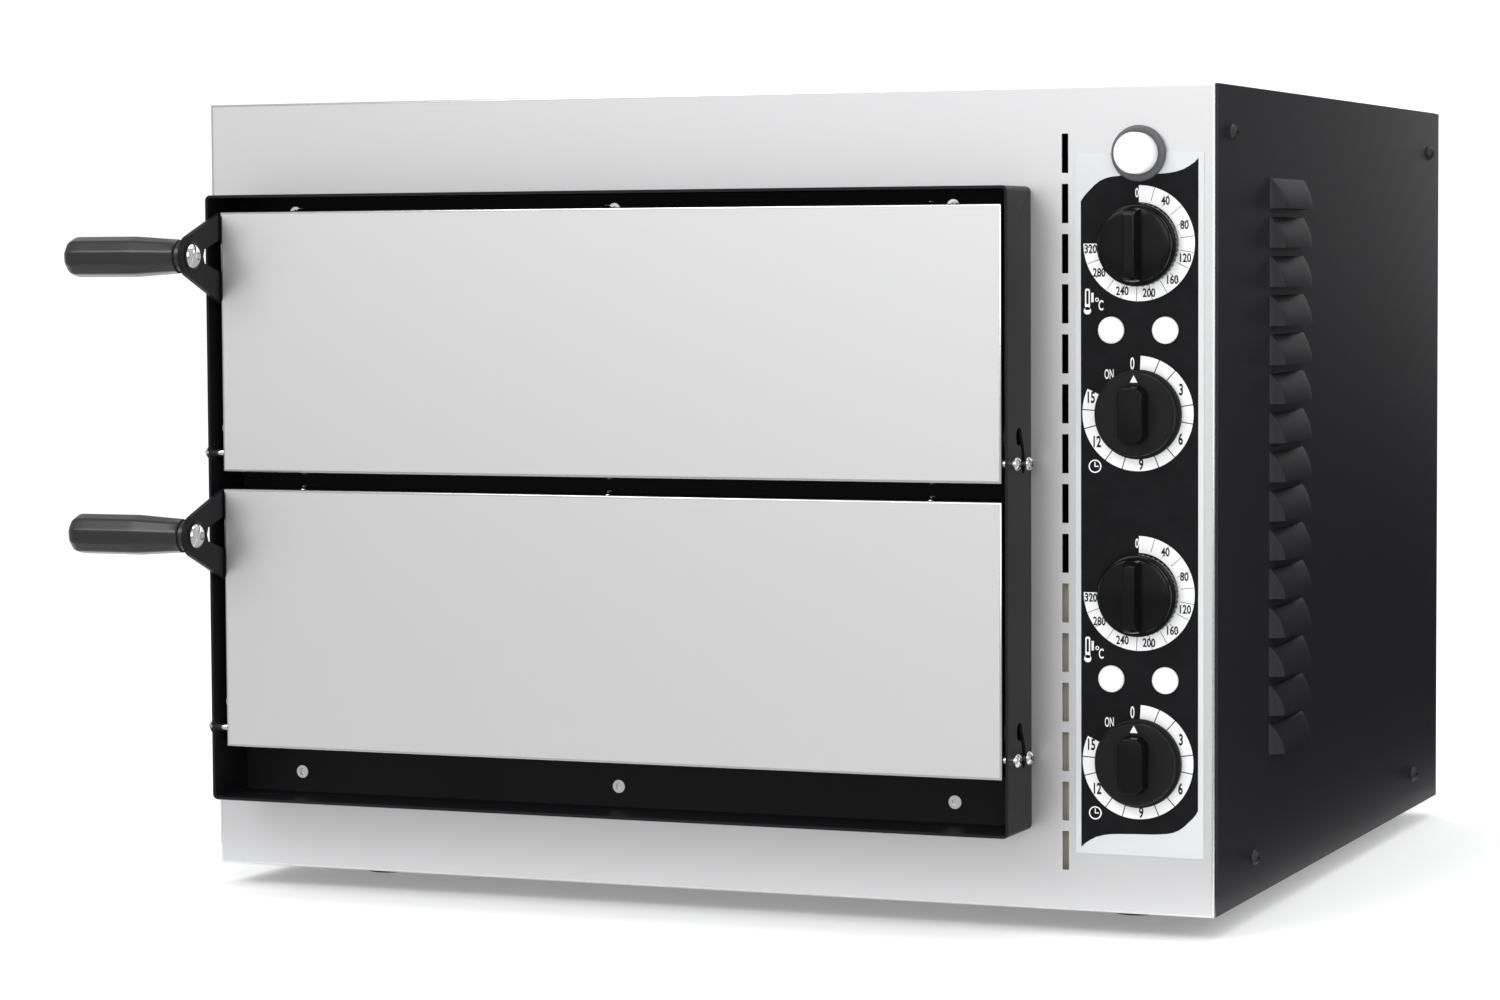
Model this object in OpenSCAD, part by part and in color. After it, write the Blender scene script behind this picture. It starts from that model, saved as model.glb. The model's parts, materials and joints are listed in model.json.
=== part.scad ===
// Countertop pizza oven with two decks, stacked drop-down doors and a control column.
// The oven stands on z = 0, its front faces -Y, and its box is centred on x = 0 and y = 0.

/* [Cabinet] */
// Width of the fascia
cabinet_w = 568; // [560:1:580]
// Depth from the fascia to the back panel
cabinet_d = 505; // [495:1:540]
// Height of the cabinet without its feet
cabinet_h = 418; // [414:1:430]
// Thickness of the cabinet's sheet metal
sheet_t = 1; // [0.8:0.1:1.2]
// Height of the rubber feet
foot_h = 12; // [8:1:20]
// Radius of the rubber feet
foot_r = 14; // [10:1:18]

/* [Door frame] */
// Width of the box frame round both doors
frame_w = 455; // [452:1:458]
// Height of the box frame
frame_h = 327.4; // [325:0.1:330]
// How far the box frame stands out of the fascia
frame_d = 37.4; // [36.8:0.1:40]
// Thickness of the box frame's walls
frame_t = 1.5; // [1.2:0.1:1.6]

/* [Doors] */
// Width of each door
door_w = 443.5; // [440:0.5:444]
// Height of each door
door_h = 140.3; // [138:0.1:141]
// Thickness of each door
door_t = 27.5; // [27:0.1:27.8]
// Widest opening of each door in degrees
door_open = 50; // [30:1:50]

/* [Handles] */
// Length of the faceted grip
grip_len = 73.1; // [60:0.1:90]
// Radius of the grip at its widest
grip_r = 10.9; // [10:0.1:11.2]

/* [Chambers] */
// Inner width of each baking chamber
chamber_w = 405; // [395:1:406]
// Inner depth of each baking chamber
chamber_d = 405; // [395:1:410]
// Inner height of each baking chamber
chamber_h = 108; // [104:1:110]
// Thickness of the refractory deck stones
stone_t = 15; // [12:1:18]
// Radius of the heating elements' tubes
element_r = 4; // [3.5:0.1:4.2]

/* [Controls] */
// Radius of the thermostat knobs
thermostat_knob_r = 21; // [19:0.5:22]
// Radius of the timer knobs
timer_knob_r = 22.5; // [20:0.5:23]
// Radius of the pilot lamps
lamp_r = 6.8; // [6.3:0.1:7.2]
// Travel of the main switch's button
switch_travel = 3; // [2:0.5:3]

/* [Ventilation] */
// Number of slots in the fascia
slot_count = 15; // [8:1:15]
// Number of pressed louvers in each side panel
louver_count = 15; // [6:1:15]
// How far each louver stands out of its side panel
louver_out = 7; // [5:0.5:9]

/* [Hidden] */
$fn = 48;

LOWER = 0;                      // the lower deck
UPPER = 1;                      // the upper deck
gap = 0.02;                     // between pieces that are fitted together
running = 0.05;                 // radial clearance of a turning or sliding fit
deck_pitch = 149.3;             // from one deck to the next

// Cabinet: x runs across from its middle, y goes back from the fascia, z goes up from its bottom.
half_w = cabinet_w / 2;
hem_t = 2.2;                    // the fascia's folded edge
hem_w = 4;
flange_d = 40;                  // the flanges that the side panels are screwed to
base_flange_h = 34;
strip_h = 10.8;                 // the base flange below the side panels
strip_d = 14;                   // the back flange behind the side panels
top_flange_h = 28;              // the top panel's side flanges
foot_inset = [64, 80];
foot_draft = 1.5;               // how much narrower the feet are at the floor

// Door frame and doors.
frame_x0 = 16.8 - half_w;
frame_x1 = frame_x0 + frame_w;
frame_z0 = 40.6;
frame_corner = 3;
collar_t = 1.5;                 // the lips round the chamber mouths
collar_gap = 2.1;               // clears the doors' lower edges as they swing
door_back = -8;                 // y of the doors' back faces
door_front = door_back - door_t;
door_x1 = frame_x1 - 3.7;
door_x0 = door_x1 - door_w;
door_mid = (door_x0 + door_x1) / 2;
skin_hem = 3;                   // depth of the skin's folded edges
frame_screw_x = [-231.3, -41.7, 147];
frame_screw_z = [frame_z0 + 12.4, frame_z0 + frame_h - 9.6];
frame_screw_r = [1.9, 3.5];     // shank and head
edge_screw_x = [-217, -37, 142];
edge_screw_y = -22;
edge_head = [3, 2.6];           // radius and height

// Hinges: a pivot screw, and a stop screw that runs in an arc slot round it.
pivot_y = -31;
pivot_up = 10;                  // above the door's bottom edge
pivot_r = 2.5;
stop_r = 2;
stop_arc_r = 18.5;              // from the pivot to the stop screw
stop_rest = -2.2;               // the stop screw's angle when the door is shut
slot_half = stop_r + 0.35;
slot_low = -10.9;               // the slot's lower end
slot_high = stop_rest + door_open + 1;
slot_eye_r = 4.6;               // the widened upper end that lets the screw in
head_gap = 2.5;                 // the hinge screws' heads stand off the frame
hinge_head = [3.5, 2.6];        // radius and height
hinge_screw_len = 14;

// Handles.
plate_t = 2.5;
plate_x = door_x0 - 0.5;        // the plate's inner face
plate_apex = [-64.5, 116.4];    // handle screw: y, and z from the door's bottom
plate_apex_r = 11.5;
plate_span = [91, 140];         // the plate's foot, z from the door's bottom
plate_notch = [107.2, 125.6];   // the gap between its two legs
plate_foot = -33;               // y of the foot
notch_apex = [-52.6, 3.8];      // the notch's far end: y, and half its height
grip_neck = [8.4, 7.2];         // the grip's round neck: radius and length
grip_waist = 9.2;               // radius at the shoulder
grip_taper = 31.5;              // from the plate to where the grip is widest

// Chambers.
chamber_wall = 1;
chamber_lift = 16;              // chamber floor above the door's bottom
chamber_y = 2;
chamber_flange = 12;
rail_h = 14;                    // rails under the stone
rail = [chamber_w / 2 - 12.5, 4];  // their place from the chamber's middle, and half their width
stone_half_w = chamber_w / 2 - 4.5;
stone_y = [6, chamber_y + chamber_d - 5];  // also the reach of the rails
element_span = 50;              // half the distance between an element's runs
element_rise = 6;               // floor element above the floor
element_drop = 10;              // roof element below the roof
bulb_drop = 7;
bulb_y = 24;
insulation_y = 10;
insulation_x = 9 - half_w;
insulation_back = cabinet_d - 50;
insulation_gap = 2.5;           // between the wool and the chambers
divider_x = 213;

// Control column.
control_x = half_w - 39;
label_w = 66.8;
label_z = [30, 384];
label_t = 0.4;
thermostat_z = 162;             // on the lower deck
timer_z = 77.2;
lamp_z = 119.4;
control_pitch = 175.9;          // from the lower set of controls to the upper one
lamp_spread = 14.1;
lamp_body_r = 6;
switch_z = 383.7;
switch_r = 14.1;
button_r = 10.4;
button_front = -11.4;           // where its domed lens begins
button_dome = 1.6;
button_back = 4;
barrel_r = 12.3;                // the part of the switch behind the fascia
barrel_end = [14, 36];
bezel_front = -3.4;
plunger_r = 4;
plunger_end = 22;
shaft_r = 3;
bush_r = 5;
knob_back = -1.2;
thermostat_case = [46, 30];     // width and depth behind the fascia
timer_case = [42, 34];

// Ventilation.
slot_x = half_w - 78;
slot_w = 3.4;
slot_h = 19.8;
slot_pitch = 25.25;
slot_z0 = 20.9;
vent_x = [150, 70];             // the back's vents: their middle, and half their width
vent_rows = 6;
vent_z0 = 250;
vent_h = 4;
vent_pitch = 16;
louver_y = [102, 171];
louver_h = 16;
louver_end = 6;                 // slope of a louver's ends
louver_wall = 1.2;              // left of the metal at a louver's ends
louver_pitch = 20.4;
louver_z0 = 71.2;               // bottom of the lowest louver

// Screws in the side panels: y and z.
side_screws = [[28.7, 394.4], [473.2, 393.4], [72, 21.3], [436.7, 21.3]];
back_screws = [[-255, 396], [0, 396], [255, 396], [-255, 20], [0, 20], [255, 20]];

gland_x = 245;
gland_z = 40;
gland_out = 14;
gland_bore_r = 5;
gland_r = 8;
gland_nut_r = [12, 10.5];       // the fixing nuts and the clamping nut
terminal = [[224, 460, 78], [266, 484, 96]];  // the terminal block's corners
terminal_pitch = 13;

grip_tip = plate_x - plate_t - grip_len;
x_shift = -(half_w + sheet_t + louver_out + grip_tip) / 2;
y_shift = -(cabinet_d + gland_out + plate_apex[0] - plate_apex_r) / 2;

function door_z(deck) = frame_z0 + 28.9 + deck * deck_pitch;
function chamber_z(deck) = door_z(deck) + chamber_lift;
function stone_z(deck) = chamber_z(deck) + rail_h;
function control_z(z, deck) = z + deck * control_pitch;
function bulb_z(deck) = chamber_z(deck) + chamber_h - bulb_drop;

// ---------------------------------------------------------------- helpers

// Sets the cabinet's own frame on the floor, with the whole box centred.
module stand() {
    translate([x_shift, y_shift, foot_h]) children();
}

// A block between two corners.
module block(low, high) {
    translate(low) cube(high - low);
}

// A flat outline in x and z, from y0 forwards by depth.
module forward(y0, depth) {
    translate([0, y0, 0]) rotate([90, 0, 0]) linear_extrude(depth) children();
}

// A flat outline in y and z, from x0 to the right by width.
module rightward(x0, width) {
    translate([x0, 0, 0]) rotate([90, 0, 90]) linear_extrude(width) children();
}

// A flat box outline with round corners.
module rounded_box(low, high, r) {
    translate([low[0] + r, low[1]]) square([high[0] - low[0] - 2 * r, high[1] - low[1]]);
    translate([low[0], low[1] + r]) square([high[0] - low[0], high[1] - low[1] - 2 * r]);
    for (x = [low[0] + r, high[0] - r], z = [low[1] + r, high[1] - r])
        translate([x, z]) circle(r);
}

// A rod along y between two places, at x and z.
module y_rod(x, z, r, y0, y1) {
    translate([x, y1, z]) rotate([90, 0, 0]) cylinder(r = r, h = y1 - y0);
}

// A rod along x between two places, at y and z.
module x_rod(y, z, r, x0, x1) {
    translate([x0, y, z]) rotate([0, 90, 0]) cylinder(r = r, h = x1 - x0);
}

// A round cap of radius r and height h, standing on z = 0.
module dome(r, h) {
    ball = (r * r + h * h) / (2 * h);
    intersection() {
        translate([0, 0, h - ball]) sphere(r = ball, $fn = 64);
        cylinder(r = r + 1, h = h);
    }
}

// A dome-headed screw along z, its head on z = 0 and its shank below it.
module dome_screw(head_r, head_h, shank_r, length) {
    difference() {
        dome(head_r, head_h);
        translate([0, 0, head_h * 0.4]) cylinder(r = head_r * 0.42, h = head_h, $fn = 6);
    }
    translate([0, 0, -length]) cylinder(r = shank_r, h = length + head_h * 0.2);
}

// Both chamber mouths, grown by a margin, from y0 forwards by depth.
module mouths(y0, depth, margin = 0) {
    for (deck = [LOWER, UPPER])
        forward(y0, depth)
            translate([door_mid - chamber_w / 2 - margin, chamber_z(deck) - margin])
                square([chamber_w + 2 * margin, chamber_h + 2 * margin]);
}

// Children at the four places that the two decks' pilot lamps take.
module at_lamps() {
    for (deck = [LOWER, UPPER], side = [-1, 1])
        translate([control_x - 0.4 + side * lamp_spread, 0, control_z(lamp_z, deck)]) children();
}

// Holes for the four control shafts, the lamps and the switch, from y0 to y1.
module control_holes(y0, y1) {
    slack = 0.2;
    for (deck = [LOWER, UPPER], z = [thermostat_z, timer_z])
        y_rod(control_x, control_z(z, deck), bush_r + slack, y0, y1);
    at_lamps() y_rod(0, 0, lamp_body_r + slack, y0, y1);
    y_rod(control_x, switch_z, barrel_r + slack, y0, y1);
}

// The half-space behind the mitre between the base pan and the back panel.
module behind_mitre() {
    rightward(-half_w - 5, cabinet_w + 10)
        polygon([[cabinet_d, 0], [cabinet_d + 5, -5], [cabinet_d + 5, 100], [cabinet_d - 100, 100]]);
}

// Children at each screw of both side panels, heads outwards.
module at_side_screws() {
    for (side = [-1, 1], place = side_screws)
        translate([side * (half_w + sheet_t), place[0], place[1]]) rotate([0, side * 90, 0]) children();
}

// The holes for the side panels' screws.
module side_screw_holes() {
    at_side_screws() translate([0, 0, -8]) cylinder(r = 2.1, h = 12);
}

// ---------------------------------------------------------------- cabinet

module front_panel() {
    color("silver") stand() difference() {
        union() {
            block([-half_w, 0, 0], [half_w, sheet_t, cabinet_h]);
            difference() {
                block([-half_w, 0, 0], [half_w, hem_t, cabinet_h]);
                block([hem_w - half_w, -1, hem_w], [half_w - hem_w, hem_t + 1, cabinet_h - hem_w]);
            }
            difference() {
                block([sheet_t - half_w, 0, sheet_t],
                      [half_w - sheet_t, flange_d, cabinet_h - sheet_t]);
                block([2 * sheet_t - half_w, -1, 2 * sheet_t],
                      [half_w - 2 * sheet_t, flange_d + 1, cabinet_h - 2 * sheet_t]);
            }
        }
        mouths(sheet_t + 1, sheet_t + 2);
        for (i = [0 : slot_count - 1])
            block([slot_x - slot_w / 2, -1, slot_z0 + i * slot_pitch],
                  [slot_x + slot_w / 2, sheet_t + 1, slot_z0 + i * slot_pitch + slot_h]);
        control_holes(-1, sheet_t + 1);
        for (x = frame_screw_x, z = frame_screw_z) y_rod(x, z, 2, -1, sheet_t + 1);
        side_screw_holes();
    }
}

module top_panel() {
    color("#1d1c1f") stand() difference() {
        union() {
            block([-half_w, hem_t, cabinet_h - sheet_t], [half_w, cabinet_d - flange_d, cabinet_h]);
            for (side = [-1, 1])
                block([side > 0 ? half_w - sheet_t : -half_w, hem_t, cabinet_h - top_flange_h],
                      [side > 0 ? half_w : sheet_t - half_w, cabinet_d - flange_d, cabinet_h]);
        }
        side_screw_holes();
    }
}

module back_panel() {
    color("#1d1c1f") stand() difference() {
        block([-half_w, cabinet_d - flange_d, 0], [half_w, cabinet_d, cabinet_h]);
        block([sheet_t - half_w, cabinet_d - flange_d - 1, -1],
              [half_w - sheet_t, cabinet_d - sheet_t, cabinet_h - sheet_t]);
        rightward(-half_w - 1, cabinet_w + 2)
            polygon([[cabinet_d - 60, -1], [cabinet_d + 1, -1], [cabinet_d, 0], [cabinet_d - 60, 60]]);
        y_rod(gland_x, gland_z, gland_r + 0.2, cabinet_d - 5, cabinet_d + 1);
        for (place = back_screws) y_rod(place[0], place[1], 2.1, cabinet_d - 5, cabinet_d + 1);
        for (row = [0 : vent_rows - 1], side = [-1, 1])
            block([side * vent_x[0] - vent_x[1], cabinet_d - 5, vent_z0 + row * vent_pitch],
                  [side * vent_x[0] + vent_x[1], cabinet_d + 1, vent_z0 + row * vent_pitch + vent_h]);
        side_screw_holes();
    }
}

module base_pan() {
    color("#1d1c1f") stand() difference() {
        block([-half_w, hem_t, 0], [half_w, cabinet_d, base_flange_h]);
        block([sheet_t - half_w, 0, sheet_t], [half_w - sheet_t, cabinet_d + 1, base_flange_h + 1]);
        behind_mitre();
        side_screw_holes();
    }
}

// A louver's wedge, standing out by out: open below, with sloping ends.
module louver_wedge(y0, y1, out, height) {
    intersection() {
        translate([0, y1, 0]) rotate([90, 0, 0]) linear_extrude(y1 - y0)
            polygon([[0, 0], [out, 0], [out * 0.93, height * 0.3], [out * 0.25, height * 0.9], [0, height]]);
        linear_extrude(height)
            polygon([[0, y0], [out, y0 + louver_end], [out, y1 - louver_end], [0, y1]]);
    }
}

// A side panel on the right, with its louvers pressed outwards.
module side_panel() {
    difference() {
        union() {
            block([half_w, hem_t, strip_h], [half_w + sheet_t, cabinet_d - strip_d, cabinet_h]);
            for (i = [0 : louver_count - 1])
                translate([half_w + sheet_t, 0, louver_z0 + i * louver_pitch])
                    louver_wedge(louver_y[0], louver_y[1], louver_out, louver_h);
        }
        for (i = [0 : louver_count - 1])
            translate([half_w + sheet_t, 0, louver_z0 + i * louver_pitch]) {
                translate([0, 0, -0.01])
                    louver_wedge(louver_y[0] + louver_wall, louver_y[1] - louver_wall,
                                 louver_out - sheet_t, louver_h - 2 * sheet_t);
                block([-2, louver_y[0] + louver_wall, -0.01],
                      [0.01, louver_y[1] - louver_wall, louver_h - 2.6 * sheet_t]);
            }
        side_screw_holes();
    }
}

module side_panel_right() {
    color("#1b1a1d") stand() side_panel();
}

module side_panel_left() {
    color("#1b1a1d") stand() mirror([1, 0, 0]) side_panel();
}

module rubber_feet() {
    color("#111111") stand() for (x = [-1, 1], y = [foot_inset[1], cabinet_d - foot_inset[1]])
        translate([x * (half_w - foot_inset[0]), y, -foot_h]) difference() {
            union() {
                cylinder(r1 = foot_r - foot_draft, r2 = foot_r, h = foot_h * 0.3);
                translate([0, 0, foot_h * 0.3]) cylinder(r = foot_r, h = foot_h * 0.7);
            }
            translate([0, 0, -1]) cylinder(r = foot_r * 0.35, h = foot_h * 0.6 + 1);
        }
}

module side_panel_screws() {
    color("#2a2a2c") stand() at_side_screws() dome_screw(4.2, 2.2, 2, 6);
}

module back_panel_screws() {
    color("#2a2a2c") stand() for (place = back_screws)
        translate([place[0], cabinet_d, place[1]]) rotate([-90, 0, 0]) dome_screw(4, 2, 2, 6);
}

module cable_gland() {
    color("#222222") stand() translate([gland_x, 0, gland_z]) difference() {
        union() {
            y_rod(0, 0, gland_r, cabinet_d - 14, cabinet_d + gland_out);
            translate([0, cabinet_d + 6, 0])
                rotate([90, 0, 0]) cylinder(r = gland_nut_r[0], h = 6, $fn = 6);
            translate([0, cabinet_d + gland_out - 1, 0])
                rotate([90, 0, 0]) cylinder(r = gland_nut_r[1], h = 6, $fn = 12);
            translate([0, cabinet_d - sheet_t, 0])
                rotate([90, 0, 0]) cylinder(r = gland_nut_r[0], h = 5, $fn = 6);
        }
        y_rod(0, 0, gland_bore_r, cabinet_d - 20, cabinet_d + gland_out + 1);
    }
}

module terminal_block() {
    color("ivory") stand() difference() {
        block(terminal[0], terminal[1]);
        for (i = [-1 : 1])
            translate((terminal[0] + terminal[1]) / 2 + [i * terminal_pitch, 0, 1]) cylinder(r = 3, h = 20);
    }
}

// ---------------------------------------------------------------- door frame

// A hinge's pivot hole and arc slot in y and z, for the door of one deck.
module hinge_openings(deck) {
    translate([pivot_y, door_z(deck) + pivot_up]) {
        circle(pivot_r + running);
        intersection() {
            difference() {
                circle(stop_arc_r + slot_half);
                circle(stop_arc_r - slot_half);
            }
            polygon([[0, 0], 40 * [cos(slot_low), sin(slot_low)], 40 * [1, 0.4],
                     40 * [cos(slot_high), sin(slot_high)]]);
        }
        rotate(slot_low) translate([stop_arc_r, 0]) circle(slot_half - 0.05);
        rotate(slot_high) translate([stop_arc_r - 0.8, 0]) circle(slot_eye_r);
    }
}

// The countersunk screws that hold the frame, grown for their holes.
module frame_screw_shape(grow) {
    for (x = frame_screw_x, z = frame_screw_z)
        translate([x, 0, z]) rotate([90, 0, 0]) {
            cylinder(r1 = frame_screw_r[0] + grow, r2 = frame_screw_r[1] + grow, h = frame_t);
            translate([0, 0, -8]) cylinder(r = frame_screw_r[0] + grow, h = 8.01);
        }
}

module door_frame() {
    low = [frame_x0, frame_z0];
    high = [frame_x1, frame_z0 + frame_h];
    wall = [frame_t, frame_t];
    color("#161518") stand() {
        difference() {
            forward(0, frame_d) rounded_box(low, high, frame_corner);
            forward(-frame_t, frame_d) rounded_box(low + wall, high - wall, frame_corner - frame_t);
            mouths(1, frame_d);
            for (deck = [LOWER, UPPER])
                rightward(frame_x0 - 1, frame_w + 2) hinge_openings(deck);
            frame_screw_shape(0.05);
        }
        difference() {
            mouths(-frame_t, -collar_gap - door_back - frame_t, collar_t);
            mouths(1, frame_d);
        }
    }
}

module frame_screws() {
    color("gainsboro") stand() difference() {
        frame_screw_shape(0);
        for (x = frame_screw_x, z = frame_screw_z)
            translate([x, -0.6, z]) rotate([90, 0, 0]) cylinder(r = 1.6, h = 2, $fn = 6);
    }
}

// ---------------------------------------------------------------- chambers

module chamber(deck) {
    x0 = door_mid - chamber_w / 2;
    x1 = x0 + chamber_w;
    z0 = chamber_z(deck);
    z1 = z0 + chamber_h;
    t = chamber_wall;
    f = chamber_flange;
    color("#a9a8a4") stand() difference() {
        union() {
            block([x0 - t, sheet_t, z0 - t], [x1 + t, chamber_y + chamber_d + t, z1 + t]);
            block([x0 - f, sheet_t, z0 - f], [x1 + f, sheet_t + t, z1 + f]);
        }
        difference() {
            block([x0, 0, z0], [x1, chamber_y + chamber_d, z1]);
            for (side = [-1, 1])
                block([door_mid + side * rail[0] - rail[1], stone_y[0] + 6, z0],
                      [door_mid + side * rail[0] + rail[1], stone_y[1] - 4, z0 + rail_h]);
        }
        for (side = [-3, 3], z = [z0 + element_rise, z1 - element_drop])
            y_rod(door_mid + side * element_span, z, element_r + 0.3, chamber_d - 5, chamber_d + 10);
        x_rod(bulb_y, bulb_z(deck), 1.3, x1 - 2, x1 + 5);
    }
}

module upper_chamber() { chamber(UPPER); }
module lower_chamber() { chamber(LOWER); }

module deck_stone(deck) {
    color("#c9b48c") stand()
        block([door_mid - stone_half_w, stone_y[0], stone_z(deck)],
              [door_mid + stone_half_w, stone_y[1], stone_z(deck) + stone_t]);
}

module upper_deck_stone() { deck_stone(UPPER); }
module lower_deck_stone() { deck_stone(LOWER); }

// A heating element: four runs joined by three half-round bends, its ends going out through the back.
module element(z) {
    front = 100;                // y of the bends
    rear = 330;
    s = element_span;
    color("#77736b") stand() translate([door_mid, 0, z]) {
        for (side = [-1, 1]) {
            y_rod(side * 3 * s, 0, element_r, front, chamber_d + 26);
            y_rod(side * s, 0, element_r, front, rear);
            translate([side * 2 * s, front, 0]) rotate([0, 0, 180])
                rotate_extrude(angle = 180) translate([s, 0]) circle(element_r);
        }
        translate([0, rear, 0]) rotate_extrude(angle = 180) translate([s, 0]) circle(element_r);
    }
}

module upper_roof_element() { element(chamber_z(UPPER) + chamber_h - element_drop); }
module upper_floor_element() { element(chamber_z(UPPER) + element_rise); }
module lower_roof_element() { element(chamber_z(LOWER) + chamber_h - element_drop); }
module lower_floor_element() { element(chamber_z(LOWER) + element_rise); }

// The level slabs above, between and below the chambers.
module insulation_decks() {
    g = insulation_gap;
    levels = [[6, chamber_z(LOWER) - g],
              [chamber_z(LOWER) + chamber_h + g, chamber_z(UPPER) - g],
              [chamber_z(UPPER) + chamber_h + g, cabinet_h - 12]];
    color("#c8bfa6") stand() for (level = levels)
        block([insulation_x, insulation_y, level[0]], [divider_x - 12, insulation_back, level[1]]);
}

// The upright slabs beside and behind each chamber. The lower right one reaches behind the slots.
module insulation_walls() {
    x0 = door_mid - chamber_w / 2 - insulation_gap;
    x1 = door_mid + chamber_w / 2 + insulation_gap;
    y1 = chamber_y + chamber_d + insulation_gap;
    color("#c8bfa6") stand() {
        for (deck = [LOWER, UPPER]) difference() {
            union() {
                z0 = chamber_z(deck) - 2;
                z1 = chamber_z(deck) + chamber_h + 2;
                block([insulation_x, insulation_y, z0], [x0, insulation_back, z1]);
                block([x1, insulation_y, z0], [divider_x - 12, insulation_back, z1]);
                block([x0 - 1, y1, z0], [x1 + 1, insulation_back, z1]);
            }
            for (side = [-3, 3], z = [element_rise, chamber_h - element_drop])
                y_rod(door_mid + side * element_span, chamber_z(deck) + z, element_r + 1,
                      chamber_d, chamber_d + 28);
            x_rod(bulb_y, bulb_z(deck), 2, x1 - 2, divider_x);
        }
        block([divider_x - 11.5, 8, 14], [divider_x - 1, insulation_back, 168]);
    }
}

module control_bay_divider() {
    color("#b9b9b9") stand() difference() {
        block([divider_x, 4, 4], [divider_x + 1, cabinet_d - 45, cabinet_h - 6]);
        for (deck = [LOWER, UPPER]) x_rod(bulb_y, bulb_z(deck), 2, divider_x - 1, divider_x + 2);
    }
}

// ---------------------------------------------------------------- controls

module control_label() {
    color("#2b2b2e") stand() difference() {
        block([control_x - label_w / 2, -label_t, label_z[0]], [control_x + label_w / 2, 0, label_z[1]]);
        control_holes(-2, 2);
    }
}

// A control's case behind the fascia, its bush in front, and the bore that its shaft turns in.
module control_case(z, deck, size, tint) {
    half = size[0] / 2;
    front = 4;
    color(tint) stand() translate([control_x, 0, control_z(z, deck)]) difference() {
        union() {
            block([-half, front, -half], [half, front + size[1], half]);
            y_rod(0, 0, bush_r, -0.6, front + 1);
        }
        y_rod(0, 0, shaft_r + running, -2, front + size[1] * 0.6);
    }
}

module upper_thermostat() { control_case(thermostat_z, UPPER, thermostat_case, "#8f8f92"); }
module lower_thermostat() { control_case(thermostat_z, LOWER, thermostat_case, "#8f8f92"); }
module upper_timer() { control_case(timer_z, UPPER, timer_case, "#d9d6cc"); }
module lower_timer() { control_case(timer_z, LOWER, timer_case, "#d9d6cc"); }

// The thermostat's fine tube, and the bulb at its end under the chamber's roof.
module sensing_bulb(deck) {
    right = door_mid + chamber_w / 2;
    color("#b87333") stand() {
        x_rod(bulb_y, bulb_z(deck), 1, right - 12, control_x - 23);
        x_rod(bulb_y, bulb_z(deck), 3, right - 120, right - 10);
    }
}

module upper_sensing_bulb() { sensing_bulb(UPPER); }
module lower_sensing_bulb() { sensing_bulb(LOWER); }

module pilot_lamp_lenses() {
    color("white") stand() at_lamps() {
        translate([0, -label_t, 0]) rotate([90, 0, 0]) dome(lamp_r, 3.2);
        y_rod(0, 0, lamp_body_r, -label_t - 0.1, 3);
    }
}

module pilot_lamp_bodies() {
    color("#dddddd") stand() at_lamps() {
        y_rod(0, 0, lamp_body_r, 3, 24);
        y_rod(0, 0, lamp_body_r + 1.5, 3.5, 6);
    }
}

module switch_bezel() {
    color("#333337") stand() translate([control_x, 0, switch_z]) difference() {
        union() {
            y_rod(0, 0, switch_r, bezel_front, -label_t);
            y_rod(0, 0, barrel_r, -1, barrel_end[0]);
        }
        y_rod(0, 0, button_r + 0.35, bezel_front - 1, barrel_end[0] + 1);
    }
}

module switch_body() {
    color("#333337") stand() translate([control_x, 0, switch_z]) difference() {
        y_rod(0, 0, barrel_r, barrel_end[0], barrel_end[1]);
        y_rod(0, 0, plunger_r + running, barrel_end[0] - 1, plunger_end + switch_travel + 3);
    }
}

module main_switch_button() {
    color("white") stand() translate([control_x, 0, switch_z]) {
        translate([0, button_front, 0]) rotate([90, 0, 0]) dome(button_r, button_dome);
        y_rod(0, 0, button_r, button_front - 0.1, button_back);
        y_rod(0, 0, plunger_r, button_back - 0.1, plunger_end);
    }
}

// A control knob's shaft.
module shaft(z, deck) {
    color("#9a9a9a") stand() y_rod(control_x, control_z(z, deck), shaft_r, -13, 12);
}

// The thermostat's knob: a round skirt under a domed body with an upright bar across it.
module thermostat_knob(deck) {
    r = thermostat_knob_r;
    color("#0e0e0f") stand() translate([control_x, knob_back, control_z(thermostat_z, deck)])
        rotate([90, 0, 0]) difference() {
            union() {
                cylinder(r = r, h = 5);
                translate([0, 0, 5]) cylinder(r1 = r, r2 = r - 5, h = 4);
                intersection() {
                    translate([-3.6, -r, 4]) cube([7.2, 2 * r, 15.5]);
                    cylinder(r1 = r + 1, r2 = r - 3.5, h = 19);
                }
            }
            translate([0, 0, -1]) cylinder(r = shaft_r + gap, h = 13.5);
        }
}

// The timer's knob: a flat disc with a raised eight-sided grip.
module timer_knob(deck) {
    grip = [7.5, 14.8];
    cut = 4.2;
    color("#0e0e0f") stand() translate([control_x, knob_back, control_z(timer_z, deck)])
        rotate([90, 0, 0]) difference() {
            union() {
                cylinder(r = timer_knob_r, h = 9);
                linear_extrude(17)
                    polygon([[-grip[0], cut - grip[1]], [cut - grip[0], -grip[1]],
                             [grip[0] - cut, -grip[1]], [grip[0], cut - grip[1]],
                             [grip[0], grip[1] - cut], [grip[0] - cut, grip[1]],
                             [cut - grip[0], grip[1]], [-grip[0], grip[1] - cut]]);
            }
            translate([0, 0, -1]) cylinder(r = shaft_r + gap, h = 13.5);
        }
}

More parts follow.
